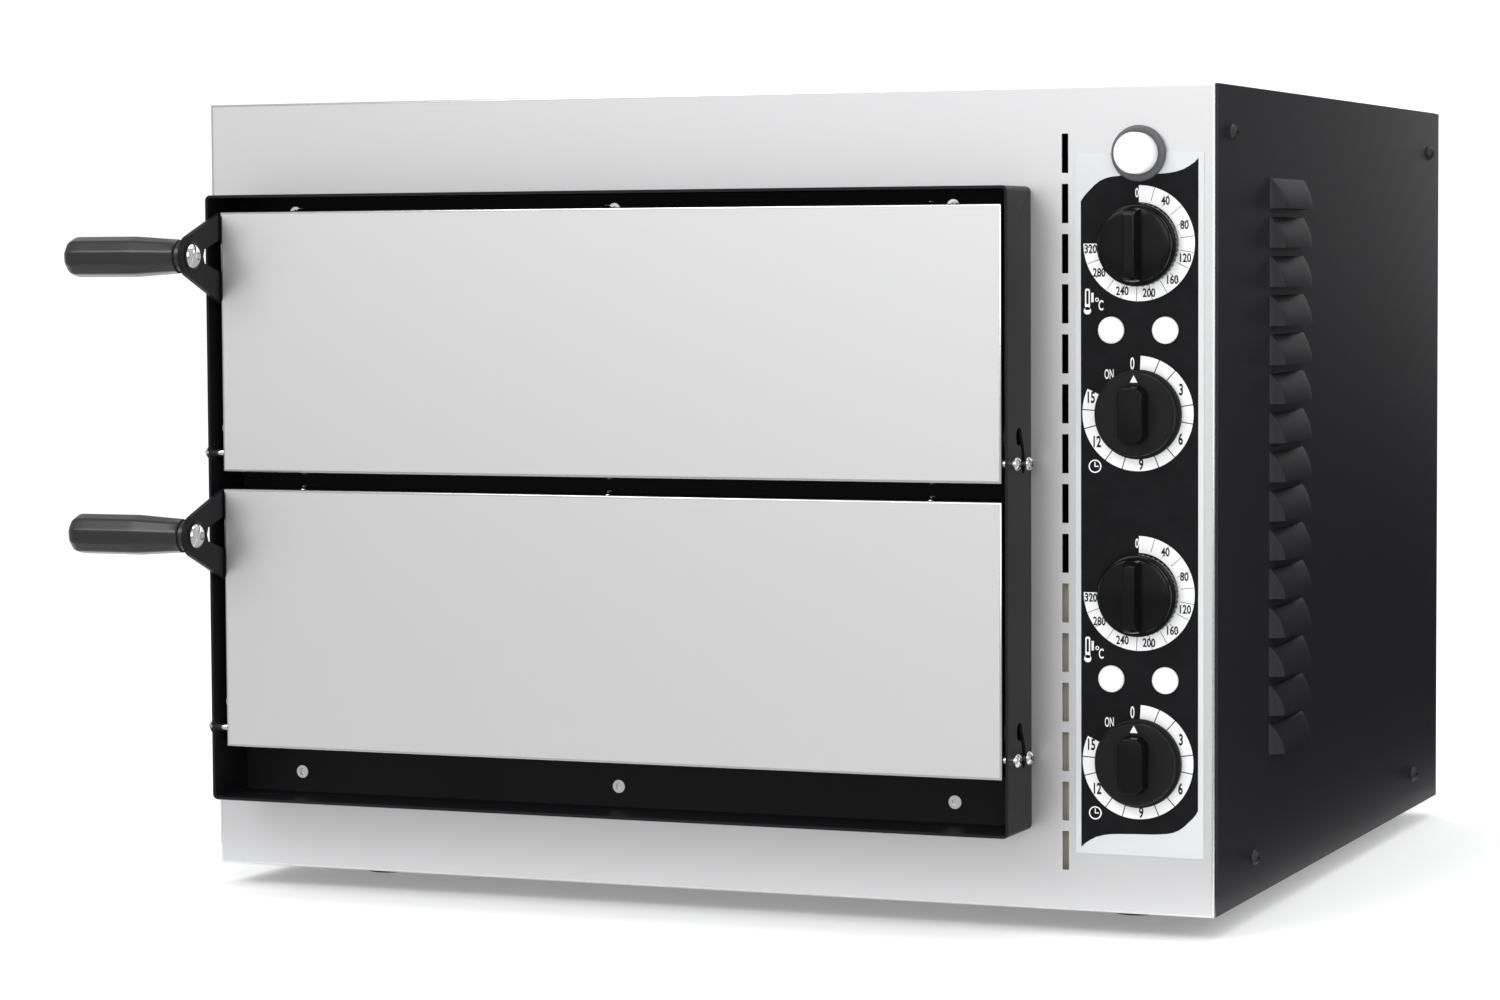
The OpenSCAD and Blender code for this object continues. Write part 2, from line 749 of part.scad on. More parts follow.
module upper_thermostat_knob() { thermostat_knob(UPPER); }
module lower_thermostat_knob() { thermostat_knob(LOWER); }
module upper_timer_knob() { timer_knob(UPPER); }
module lower_timer_knob() { timer_knob(LOWER); }
module upper_thermostat_shaft() { shaft(thermostat_z, UPPER); }
module lower_thermostat_shaft() { shaft(thermostat_z, LOWER); }
module upper_timer_shaft() { shaft(timer_z, UPPER); }
module lower_timer_shaft() { shaft(timer_z, LOWER); }

// ---------------------------------------------------------------- doors

// Children at a door's six edge screws, heads outwards.
module at_edge_screws(deck) {
    for (x = edge_screw_x) {
        translate([x, edge_screw_y, door_z(deck) + door_h - sheet_t]) children();
        translate([x, edge_screw_y, door_z(deck) + sheet_t]) rotate([180, 0, 0]) children();
    }
}

// Children at a door's pivot and stop screws on both sides, heads outwards.
module at_hinge_screws(deck) {
    stop = stop_arc_r * [cos(stop_rest), sin(stop_rest)];
    for (place = [[0, 0, pivot_r], [stop[0], stop[1], stop_r]]) {
        $shank_r = place[2];
        translate([frame_x1 + head_gap, pivot_y + place[0], door_z(deck) + pivot_up + place[1]])
            rotate([0, 90, 0]) children();
        translate([frame_x0 - head_gap, pivot_y + place[0], door_z(deck) + pivot_up + place[1]])
            rotate([0, -90, 0]) children();
    }
}

// The holes that a door's hinge screws are fitted in.
module hinge_screw_holes(deck) {
    at_hinge_screws(deck) translate([0, 0, -hinge_screw_len - 2])
        cylinder(r = $shank_r + gap, h = hinge_screw_len + 2);
}

module door_skin(deck) {
    z0 = door_z(deck);
    color("#cfcfcf") stand() difference() {
        block([door_x0, door_front, z0], [door_x1, door_front + skin_hem, z0 + door_h]);
        block([door_x0 + sheet_t, door_front + sheet_t, z0 + sheet_t],
              [door_x1 - sheet_t, door_front + skin_hem + 1, z0 + door_h - sheet_t]);
        hinge_screw_holes(deck);
    }
}

module door_pan(deck) {
    z0 = door_z(deck);
    t = sheet_t;
    color("#161518") stand() difference() {
        block([door_x0 + t, door_front + t, z0 + t], [door_x1 - t, door_back, z0 + door_h - t]);
        block([door_x0 + 2 * t, door_front, z0 + 2 * t],
              [door_x1 - 2 * t, door_back - t, z0 + door_h - 2 * t]);
        at_edge_screws(deck) translate([0, 0, -9]) cylinder(r = 1.5 + gap, h = 10);
        hinge_screw_holes(deck);
    }
}

module door_insulation(deck) {
    z0 = door_z(deck);
    color("#c8bfa6") stand()
        block([door_x0 + 12, door_front + 1.5, z0 + 10], [door_x1 - 12, door_back - 1.5, z0 + door_h - 10]);
}

module door_edge_screws(deck) {
    color("gainsboro") stand() at_edge_screws(deck)
        dome_screw(edge_head[0], edge_head[1], 1.5, 6);
}

module door_hinge_screws(deck) {
    color("gainsboro") stand() at_hinge_screws(deck)
        dome_screw(hinge_head[0], hinge_head[1], $shank_r, hinge_screw_len);
}

// The plate's outline in y and z: a foot along the door, tapering to a round apex at the screw.
module bracket_outline(deck) {
    z0 = door_z(deck);
    apex = [plate_apex[0], z0 + plate_apex[1]];
    low = [plate_foot, z0 + plate_span[0]];
    high = [plate_foot, z0 + plate_span[1]];
    r = plate_apex_r;
    // points where lines from the foot's corners touch the apex's circle
    reach_low = norm(low - apex);
    reach_high = norm(high - apex);
    turn_low = atan2(low[1] - apex[1], low[0] - apex[0]) - acos(r / reach_low);
    turn_high = atan2(high[1] - apex[1], high[0] - apex[0]) + acos(r / reach_high);
    difference() {
        union() {
            translate(apex) circle(r);
            polygon([apex, apex + r * [cos(turn_low), sin(turn_low)], low, high,
                     apex + r * [cos(turn_high), sin(turn_high)]]);
        }
        translate(apex) circle(3 + gap);
        polygon([[plate_foot + 1, z0 + plate_notch[0]], [plate_foot, z0 + plate_notch[0]],
                 [notch_apex[0] + 1.5, apex[1] - notch_apex[1]], [notch_apex[0], apex[1]],
                 [notch_apex[0] + 1.5, apex[1] + notch_apex[1]],
                 [plate_foot, z0 + plate_notch[1]], [plate_foot + 1, z0 + plate_notch[1]]]);
    }
}

module handle_bracket(deck) {
    z0 = door_z(deck);
    t = sheet_t;
    color("#161518") stand() {
        rightward(plate_x - plate_t, plate_t) bracket_outline(deck);
        // two joggled legs, fixed to the side of the pan
        for (leg = [[plate_span[0], plate_notch[0]], [plate_notch[1], plate_span[1]]]) {
            block([plate_x - plate_t, -33.5, z0 + leg[0]], [plate_x - 0.9, -30.5, z0 + leg[1]]);
            block([plate_x - plate_t + 1, -31.5, z0 + leg[0]], [door_x0 + t, -12, z0 + leg[1]]);
        }
    }
}

// A ten-sided grip along -x from the plate: a round neck, a taper and a round tip.
module grip_shape() {
    turn = -4;
    tip_r = 16;
    rotate([0, -90, 0]) intersection() {
        union() {
            cylinder(r = grip_neck[0], h = grip_neck[1] + 1);
            rotate(turn) translate([0, 0, grip_neck[1]])
                cylinder(r1 = grip_waist, r2 = grip_r, h = grip_taper - grip_neck[1], $fn = 10);
            rotate(turn) translate([0, 0, grip_taper - 0.01])
                cylinder(r = grip_r, h = grip_len - grip_taper + 0.01, $fn = 10);
        }
        union() {
            translate([0, 0, grip_len - tip_r]) sphere(r = tip_r, $fn = 64);
            translate([0, 0, -1]) cylinder(r = tip_r, h = grip_len - tip_r + 1);
        }
    }
}

module handle_grip(deck) {
    color("#101012") stand()
        translate([plate_x - plate_t, plate_apex[0], door_z(deck) + plate_apex[1]]) difference() {
            grip_shape();
            x_rod(0, 0, 3 + gap, -10.5, 1);
        }
}

module handle_screw(deck) {
    color("gainsboro") stand() translate([plate_x, plate_apex[0], door_z(deck) + plate_apex[1]])
        rotate([0, 90, 0]) dome_screw(6.8, 4, 3, 12);
}

module upper_door_skin() { door_skin(UPPER); }
module lower_door_skin() { door_skin(LOWER); }
module upper_door_pan() { door_pan(UPPER); }
module lower_door_pan() { door_pan(LOWER); }
module upper_door_insulation() { door_insulation(UPPER); }
module lower_door_insulation() { door_insulation(LOWER); }
module upper_door_edge_screws() { door_edge_screws(UPPER); }
module lower_door_edge_screws() { door_edge_screws(LOWER); }
module upper_door_hinge_screws() { door_hinge_screws(UPPER); }
module lower_door_hinge_screws() { door_hinge_screws(LOWER); }
module upper_handle_bracket() { handle_bracket(UPPER); }
module lower_handle_bracket() { handle_bracket(LOWER); }
module upper_handle_grip() { handle_grip(UPPER); }
module lower_handle_grip() { handle_grip(LOWER); }
module upper_handle_screw() { handle_screw(UPPER); }
module lower_handle_screw() { handle_screw(LOWER); }

front_panel();
top_panel();
back_panel();
base_pan();
side_panel_right();
side_panel_left();
rubber_feet();
side_panel_screws();
back_panel_screws();
cable_gland();
terminal_block();
control_label();
door_frame();
frame_screws();
upper_chamber();
lower_chamber();
upper_deck_stone();
lower_deck_stone();
upper_roof_element();
upper_floor_element();
lower_roof_element();
lower_floor_element();
insulation_decks();
insulation_walls();
control_bay_divider();
upper_thermostat();
lower_thermostat();
upper_timer();
lower_timer();
upper_sensing_bulb();
lower_sensing_bulb();
pilot_lamp_lenses();
pilot_lamp_bodies();
switch_bezel();
switch_body();
main_switch_button();
upper_thermostat_knob();
upper_thermostat_shaft();
lower_thermostat_knob();
lower_thermostat_shaft();
upper_timer_knob();
upper_timer_shaft();
lower_timer_knob();
lower_timer_shaft();
upper_door_skin();
upper_door_pan();
upper_door_insulation();
upper_door_edge_screws();
upper_door_hinge_screws();
upper_handle_bracket();
upper_handle_grip();
upper_handle_screw();
lower_door_skin();
lower_door_pan();
lower_door_insulation();
lower_door_edge_screws();
lower_door_hinge_screws();
lower_handle_bracket();
lower_handle_grip();
lower_handle_screw();
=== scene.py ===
"""The looks of a countertop pizza oven with two decks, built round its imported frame."""

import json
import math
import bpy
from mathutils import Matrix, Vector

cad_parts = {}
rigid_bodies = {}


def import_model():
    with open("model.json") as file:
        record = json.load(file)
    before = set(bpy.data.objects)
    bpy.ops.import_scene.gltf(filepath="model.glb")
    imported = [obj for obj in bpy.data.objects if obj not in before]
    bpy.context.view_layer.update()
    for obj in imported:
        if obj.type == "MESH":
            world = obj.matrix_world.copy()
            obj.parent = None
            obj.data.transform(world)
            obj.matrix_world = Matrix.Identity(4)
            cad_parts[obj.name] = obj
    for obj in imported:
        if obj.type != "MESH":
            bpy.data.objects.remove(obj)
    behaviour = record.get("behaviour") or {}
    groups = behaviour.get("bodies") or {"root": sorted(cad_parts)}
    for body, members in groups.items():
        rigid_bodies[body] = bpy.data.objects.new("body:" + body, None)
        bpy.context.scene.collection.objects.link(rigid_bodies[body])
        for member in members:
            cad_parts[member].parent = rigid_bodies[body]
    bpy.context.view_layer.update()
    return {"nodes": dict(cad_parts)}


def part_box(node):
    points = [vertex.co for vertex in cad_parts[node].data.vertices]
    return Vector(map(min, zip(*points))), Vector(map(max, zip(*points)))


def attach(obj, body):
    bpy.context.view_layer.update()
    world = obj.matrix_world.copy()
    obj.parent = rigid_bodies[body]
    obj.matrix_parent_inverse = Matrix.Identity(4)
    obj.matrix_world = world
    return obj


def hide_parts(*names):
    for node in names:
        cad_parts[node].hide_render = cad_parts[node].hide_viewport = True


bl_info = {
    "name": "Countertop Pizza Oven",
    "version": (1, 0, 0),
    "blender": (4, 5, 0),
    "location": "View3D > Sidebar > Oven",
    "description": "Builds a twin deck pizza oven: pressed panels, doors, dials, printed label and finishes",
    "category": "Add Mesh",
}

import bmesh
import bpy
import numpy as np
from mathutils import Matrix, Vector

for leftover in list(bpy.data.objects):
    bpy.data.objects.remove(leftover)
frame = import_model()

# The cabinet's own frame: its middle, the fascia's front and its bottom, in the row frame.
FASCIA_LOW, FASCIA_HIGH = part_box("front_panel")
ORIGIN = np.array([(FASCIA_LOW.x + FASCIA_HIGH.x) / 2, FASCIA_LOW.y, FASCIA_LOW.z])
MM = 0.001
TAU = 2 * math.pi
DECKS = ("lower", "upper")


def box_mm(node):
    """A CAD node's lowest and highest corner in millimetres in the cabinet's own frame."""
    low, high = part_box(node)
    return (np.array(low) - ORIGIN) / MM, (np.array(high) - ORIGIN) / MM


# ---------------------------------------------------------------- sizes and colours


def length(name, what, default):
    """A length property in metres."""
    return bpy.props.FloatProperty(
        name=name, description=what, default=default, min=0.0, unit="LENGTH", precision=5
    )


def colour(name, what, default):
    """A colour property, linear."""
    return bpy.props.FloatVectorProperty(
        name=name, description=what, default=default, size=3, min=0.0, max=1.0, subtype="COLOR"
    )


class OvenSizes(bpy.types.PropertyGroup):
    """The sizes of the pieces that are shaped here, in metres."""

    fascia_edge: length("Fascia edge", "Radius of the fascia's folded edge", 0.0011)
    skin_edge: length("Door edge", "Radius of the door skins' folded edges", 0.0012)
    soft_edge: length("Soft edge", "Width of the softening on the cut sheet metal", 0.0003)
    slot_width: length("Slot width", "Width of a slot in the fascia", 0.0034)
    slot_height: length("Slot height", "Height of a slot in the fascia", 0.0198)
    slot_pitch: length("Slot pitch", "From one slot to the next", 0.02525)
    louver_height: length("Louver height", "Height of a pressed louver", 0.016)
    louver_pitch: length("Louver pitch", "From one louver to the next", 0.0204)
    louver_out: length("Louver depth", "How far a louver stands out of its panel", 0.007)
    louver_end: length("Louver end", "Length of a louver's sloping ends", 0.006)
    thermostat_radius: length("Thermostat knob", "Radius of a thermostat's knob", 0.021)
    timer_radius: length("Timer knob", "Radius of a timer's knob", 0.0225)
    lamp_radius: length("Lamp radius", "Radius of a pilot lamp's lens", 0.0068)
    ring_outer: length("Scale outside", "Outer radius of a dial's printed scale", 0.029)
    ring_inner: length("Scale inside", "Inner radius of a dial's printed scale", 0.0205)
    grip_length: length("Grip length", "Length of a grip from its plate to its tip", 0.0731)
    grip_radius: length("Grip radius", "Radius of a grip at its widest", 0.011)
    grip_waist: length("Grip waist", "Radius of a grip at its shoulder", 0.0092)


class OvenColours(bpy.types.PropertyGroup):
    """The colours of the finishes."""

    fascia_steel: colour("Fascia steel", "Satin stainless steel of the fascia", (0.575, 0.575, 0.58))
    door_steel: colour("Door steel", "Brushed stainless steel of the doors", (0.665, 0.665, 0.66))
    black_coat: colour("Black coat", "Powder coat of the cabinet and frame", (0.0095, 0.009, 0.0105))
    zinc: colour("Bright plating", "Plated screws", (0.72, 0.72, 0.71))
    knob: colour("Knob black", "Gloss plastic of the dials", (0.005, 0.005, 0.0055))
    grip: colour("Grip black", "Satin plastic of the grips", (0.008, 0.008, 0.0088))
    bezel: colour("Bezel grey", "Plastic of the switch's bezel", (0.085, 0.085, 0.092))
    film: colour("Label film", "Pale film round the label's field", (0.90, 0.895, 0.89))
    field: colour("Label field", "Dark field of the label", (0.0075, 0.007, 0.0078))
    ink: colour("White ink", "Printed scales and numbers", (0.86, 0.86, 0.86))
    lens: colour("Lens white", "Milky lenses of the lamps and the switch", (0.88, 0.88, 0.88))
    wool: colour("Mineral wool", "Insulation", (0.50, 0.45, 0.31))
    stone: colour("Deck stone", "Refractory stone", (0.62, 0.53, 0.40))
    chamber: colour("Chamber steel", "Aluminised steel of the chambers", (0.52, 0.52, 0.50))
    element: colour("Element steel", "Heat-darkened tubes", (0.23, 0.20, 0.18))
    copper: colour("Copper", "The sensing bulbs' fine tubes", (0.72, 0.42, 0.25))
    rubber: colour("Rubber", "The feet", (0.025, 0.025, 0.025))
    ivory: colour("Ivory plastic", "Terminal block and timers", (0.70, 0.66, 0.54))
    floor: colour("Floor", "The stage", (0.93, 0.93, 0.93))


def sizes():
    """The scene's sizes in millimetres, by name."""
    group = bpy.context.scene.oven_sizes
    return {k: getattr(group, k) / MM for k in OvenSizes.__annotations__}


def tint(name):
    """One of the scene's colours with full alpha."""
    return (*getattr(bpy.context.scene.oven_colours, name), 1.0)


# ---------------------------------------------------------------- surfaces


def grid(points, wrap_u=False, wrap_v=False):
    """A surface from points at (u, v): each cell of the grid becomes a four-sided face."""
    m, n = points.shape[:2]
    i, j = np.meshgrid(
        np.arange(m if wrap_u else m - 1), np.arange(n if wrap_v else n - 1), indexing="ij"
    )
    k, l = (i + 1) % m, (j + 1) % n
    quads = np.stack([i * n + j, k * n + j, k * n + l, i * n + l], -1).reshape(-1, 4)
    return points.reshape(-1, 3), quads.tolist()


def cap(ring):
    """One flat face across a closed ring of points."""
    return ring, [list(range(len(ring)))]


def loft(rings):
    """Closed rings joined one to the next, with a flat face over the first and the last."""
    return [grid(rings, wrap_v=True), cap(rings[0]), cap(rings[-1])]


def thick_grid(outer, inner):
    """A wall between an outer and an inner grid of the same size, closed round its border."""
    loop = lambda p: np.concatenate([p[0], p[1:, -1], p[-1, -2::-1], p[-2:0:-1, 0]])
    return [grid(outer), grid(inner), grid(np.stack([loop(outer), loop(inner)]), wrap_v=True)]


def inset(outline, distance):
    """A flat outline moved inwards: each corner moves along the mitre of its two edges."""
    x, z = outline.T
    area = np.sum(x * np.roll(z, -1) - np.roll(x, -1) * z)
    edge = np.roll(outline, -1, 0) - outline
    edge /= np.linalg.norm(edge, axis=1)[:, None]
    normal = np.stack([-edge[:, 1], edge[:, 0]], 1) * np.sign(area)
    before = np.roll(normal, 1, 0)
    mitre = (normal + before) / (1 + np.sum(normal * before, 1))[:, None]
    return outline + mitre * distance


def prism(outline, back, front, radius=0.0, steps=4, draft=0.0):
    """A flat outline in x and z carried from back to front along y. The front edge is turned in a
    quarter round: inset r(1 - cos t), short of the front by r(1 - sin t). Draft narrows it."""
    sign = 1 if front > back else -1
    rows = [(0.0, back)]
    if radius:
        t = np.linspace(0, math.pi / 2, steps + 1)
        rows += list(zip(draft + radius * (1 - np.cos(t)), front - sign * radius * (1 - np.sin(t))))
    else:
        rows.append((draft, front))
    rings = []
    for distance, y in rows:
        flat = inset(outline, distance) if distance else outline
        rings.append(np.stack([flat[:, 0], np.full(len(flat), y), flat[:, 1]], 1))
    return loft(np.stack(rings))


def block(low, high):
    """A plain closed box between two corners."""
    x, z = np.array([low[0], high[0], high[0], low[0]]), np.array([low[2], low[2], high[2], high[2]])
    return prism(np.stack([x, z], 1).astype(float), high[1], low[1])


def arc(centre, radius, start, end, count):
    """Points on an arc in a plane; the angles are in degrees."""
    t = np.radians(np.linspace(start, end, count))
    return np.stack([centre[0] + radius * np.cos(t), centre[1] + radius * np.sin(t)], 1)


def aim(points, origin, direction):
    """Points drawn round +Z moved so that +Z points along direction from origin."""
    w = np.array(direction, float) / np.linalg.norm(direction)
    u = np.cross([0.0, 0.0, 1.0], w) if abs(w[2]) < 0.9 else np.array([1.0, 0.0, 0.0])
    u /= np.linalg.norm(u)
    return points @ np.stack([u, np.cross(w, u), w]) + np.array(origin, float)


def turned(profile, origin, direction, count=64, ripple=None):
    """A profile of (radius, height) turned round an axis. A ripple, a function of the angle and
    the row's number, adds to the radius."""
    profile = np.array(profile, float)
    t = np.linspace(0, TAU, count, endpoint=False)
    r = np.repeat(profile[:, :1], count, 1)
    if ripple is not None:
        r = r + ripple(t[None, :], np.arange(len(profile))[:, None])
    p = np.stack([r * np.cos(t), r * np.sin(t), np.repeat(profile[:, 1:], count, 1)], -1)
    return [grid(aim(p, origin, direction), wrap_v=True)]


def flat_sheet(a, b, windows, back, front):
    """A sheet between back and front over the lines a and b, left open in the windows, as points
    (a, b, n): front and back faces on each closed cell, and a wall wherever an open cell begins."""
    mid_a, mid_b = (a[1:] + a[:-1]) / 2, (b[1:] + b[:-1]) / 2
    solid = np.ones((len(mid_a), len(mid_b)), bool)
    for a0, a1, b0, b1 in windows:
        inside = ((mid_a > a0) & (mid_a < a1))[:, None] & ((mid_b > b0) & (mid_b < b1))[None, :]
        solid &= ~inside
    grid_a, grid_b = np.meshgrid(a, b, indexing="ij")
    layer = lambda n: np.stack([grid_a, grid_b, np.full(grid_a.shape, n)], -1).reshape(-1, 3)
    points = np.concatenate([layer(front), layer(back)])
    cols, size = len(b), len(a) * len(b)
    i, j = np.nonzero(solid)
    k = i * cols + j
    front_faces = np.stack([k, k + cols, k + cols + 1, k + 1], 1)
    faces = [front_faces, front_faces[:, ::-1] + size]
    padded = np.pad(solid, 1)
    i, j = np.nonzero(padded[1:, 1:-1] != padded[:-1, 1:-1])
    k = i * cols + j
    faces.append(np.stack([k, k + 1, k + 1 + size, k + size], 1))
    i, j = np.nonzero(padded[1:-1, 1:] != padded[1:-1, :-1])
    k = i * cols + j
    faces.append(np.stack([k, k + cols, k + cols + size, k + size], 1))
    return points, np.concatenate(faces).tolist()


def lines(low, high, windows, axis, step=60.0):
    """The grid lines from low to high: the windows' edges, and others no further than a step apart."""
    edges = [window[axis * 2 + k] for window in windows for k in (0, 1)]
    marks = sorted({low, high, *(edge for edge in edges if low < edge < high)})
    out = [marks[0]]
    for mark in marks[1:]:
        out += list(np.linspace(out[-1], mark, max(1, math.ceil((mark - out[-1]) / step)) + 1)[1:])
    return np.array(out)


def add_object(name, data):
    """A new object in the scene."""
    piece = bpy.data.objects.new(name, data)
    bpy.context.scene.collection.objects.link(piece)
    return piece


def weld(parts):
    """Surfaces made one: points in the same place become one point, and collapsed sides go."""
    points = np.concatenate([p for p, _ in parts])
    starts = np.cumsum([0] + [len(p) for p, _ in parts])
    places = np.round(points * 2e4).astype(np.int64)
    _, first, same = np.unique(places, axis=0, return_index=True, return_inverse=True)
    same = same.reshape(-1)
    faces = []
    for (_, part), start in zip(parts, starts):
        for face in part:
            ring = [int(same[start + k]) for k in face]
            ring = [k for n, k in enumerate(ring) if k != ring[n - 1]]
            if len(ring) > 2:
                faces.append(ring)
    return points[first], faces


class Shape:
    """A piece's closed shells, gathered before they become one mesh."""

    def __init__(self):
        self.points, self.faces, self.paint, self.total = [], [], [], 0

    def shell(self, parts, paint=0):
        """Adds one closed shell made of surfaces, in millimetres in the cabinet's own frame."""
        points, faces = weld(parts)
        self.points.append(points)
        self.faces += [[k + self.total for k in face] for face in faces]
        self.paint += [paint] * len(faces)
        self.total += len(points)
        return self

    def build(self, name, body, slot, finishes, replaces=(), smooth=32):
        """Makes the object, its faces outwards, its place in its mesh, riding on a CAD body."""
        mesh = bpy.data.meshes.new(name)
        points = np.concatenate(self.points)
        mesh.from_pydata((points * MM + ORIGIN).tolist(), [], self.faces)
        mesh.polygons.foreach_set("material_index", np.array(self.paint, np.int32))
        work = bmesh.new()
        work.from_mesh(mesh)
        bmesh.ops.recalc_face_normals(work, faces=work.faces)
        work.to_mesh(mesh)
        work.free()
        mesh.polygons.foreach_set("use_smooth", np.ones(len(mesh.polygons), bool))
        mesh.set_sharp_from_angle(angle=math.radians(smooth))
        for kind in finishes:
            mesh.materials.append(finish(kind))
        piece = add_object(name, mesh)
        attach(piece, body)
        if replaces:
            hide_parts(*replaces)
        return piece


def bevel(piece, width):
    """Softens a piece's sharp edges, in millimetres, and keeps its flat faces flat."""
    soft = piece.modifiers.new("soft_edges", "BEVEL")
    soft.width = width * MM
    soft.segments = 2
    soft.limit_method = "ANGLE"
    soft.angle_limit = math.radians(40)
    soft.harden_normals = False
    keep = piece.modifiers.new("flat_faces", "WEIGHTED_NORMAL")
    keep.keep_sharp = True


# ---------------------------------------------------------------- finishes


def put(tree, kind, **values):
    """Adds a node. Values name its settings, or its inputs by name with spaces as underscores."""
    node = tree.nodes.new(kind)
    for key, value in values.items():
        label = key.replace("_", " ")
        if label in node.inputs:
            socket = node.inputs[label]
            if isinstance(value, bpy.types.NodeSocket):
                tree.links.new(value, socket)
            else:
                socket.default_value = value
        else:
            setattr(node, key, value)
    return node


def group(name, inputs, outputs):
    """A new shader group with its sockets, and its two end nodes."""
    tree = bpy.data.node_groups.new(name, "ShaderNodeTree")
    for label, kind, default in inputs:
        socket = tree.interface.new_socket(label, in_out="INPUT", socket_type=kind)
        if default is not None:
            socket.default_value = default
    for label, kind in outputs:
        tree.interface.new_socket(label, in_out="OUTPUT", socket_type=kind)
    return tree, tree.nodes.new("NodeGroupInput"), tree.nodes.new("NodeGroupOutput")


def span(tree, value, low, high):
    """A value from 0 to 1 spread over a range."""
    return put(tree, "ShaderNodeMapRange", Value=value, To_Min=low, To_Max=high).outputs[0]


def grain_group():
    """Brushed grain: noise drawn out long one way and packed tight the other, over a slower
    streak, put out as a tone round 0.5 and as a height."""
    tree, start, end = group(
        "brushed_grain",
        [("Vector", "NodeSocketVector", None), ("Along", "NodeSocketVector", (4.0, 40.0, 900.0))],
        [("Tone", "NodeSocketFloat"), ("Height", "NodeSocketFloat")],
    )
    stretch = put(tree, "ShaderNodeVectorMath", operation="MULTIPLY")
    tree.links.new(start.outputs["Vector"], stretch.inputs[0])
    tree.links.new(start.outputs["Along"], stretch.inputs[1])
    fine = put(tree, "ShaderNodeTexNoise", Vector=stretch.outputs[0], Scale=4.0, Detail=3.0, Roughness=0.65)
    slow = put(tree, "ShaderNodeTexNoise", Vector=stretch.outputs[0], Scale=0.35, Detail=2.0)
    both = put(tree, "ShaderNodeMath", operation="ADD")
    half = put(tree, "ShaderNodeMath", operation="MULTIPLY_ADD")
    tree.links.new(slow.outputs["Fac"], half.inputs[0])
    half.inputs[1].default_value, half.inputs[2].default_value = 0.45, -0.225
    tree.links.new(fine.outputs["Fac"], both.inputs[0])
    tree.links.new(half.outputs[0], both.inputs[1])
    tree.links.new(both.outputs[0], end.inputs["Tone"])
    tree.links.new(fine.outputs["Fac"], end.inputs["Height"])
    return tree


def fleck_group():
    """Fine grain of a coat or a moulding: small noise for the height, larger noise for patches."""
    tree, start, end = group(
        "surface_fleck",
        [("Vector", "NodeSocketVector", None), ("Fine", "NodeSocketFloat", 900.0),
         ("Broad", "NodeSocketFloat", 12.0)],
        [("Patch", "NodeSocketFloat"), ("Height", "NodeSocketFloat")],
    )
    place = start.outputs["Vector"]
    fine = put(tree, "ShaderNodeTexNoise", Vector=place, Scale=start.outputs["Fine"], Detail=2.0)
    broad = put(tree, "ShaderNodeTexNoise", Vector=place, Scale=start.outputs["Broad"], Detail=4.0)
    tree.links.new(broad.outputs["Fac"], end.inputs["Patch"])
    tree.links.new(fine.outputs["Fac"], end.inputs["Height"])
    return tree


def fibre_group():
    """Matted fibres: noise drawn through warped space, put out as a tone and a height."""
    tree, start, end = group(
        "matted_fibres",
        [("Vector", "NodeSocketVector", None), ("Size", "NodeSocketFloat", 160.0)],
        [("Tone", "NodeSocketFloat"), ("Height", "NodeSocketFloat")],
    )
    drift = put(tree, "ShaderNodeTexNoise", Vector=start.outputs["Vector"], Scale=60.0, Detail=2.0)
    bend = put(tree, "ShaderNodeMix", data_type="VECTOR")
    bend.inputs[0].default_value = 0.04
    tree.links.new(start.outputs["Vector"], bend.inputs[4])
    tree.links.new(drift.outputs["Color"], bend.inputs[5])
    place, size = bend.outputs[1], start.outputs["Size"]
    strand = put(tree, "ShaderNodeTexNoise", Vector=place, Scale=size, Detail=6.0, Roughness=0.7)
    clump = put(tree, "ShaderNodeTexVoronoi", Vector=place, Scale=size)
    height = put(tree, "ShaderNodeMath", operation="ADD")
    tree.links.new(strand.outputs["Fac"], height.inputs[0])
    tree.links.new(clump.outputs["Distance"], height.inputs[1])
    tree.links.new(strand.outputs["Fac"], end.inputs["Tone"])
    tree.links.new(height.outputs[0], end.inputs["Height"])
    return tree


GROUPS = {"brushed_grain": grain_group, "surface_fleck": fleck_group, "matted_fibres": fibre_group}


def fleck(paint, bright, rough, depth, fine, broad, **shader):
    """A flecked finish. The shader's own settings come by name, with underscores for spaces."""
    return ("surface_fleck", paint, bright, rough, depth, {"Fine": fine, "Broad": broad},
            {key.replace("_", " "): value for key, value in shader.items()})


def grain(paint, bright, rough, depth, along):
    """A brushed metal finish, its grain scaled by three factors."""
    return ("brushed_grain", paint, bright, rough, depth, {"Along": along}, {"Metallic": 1.0})


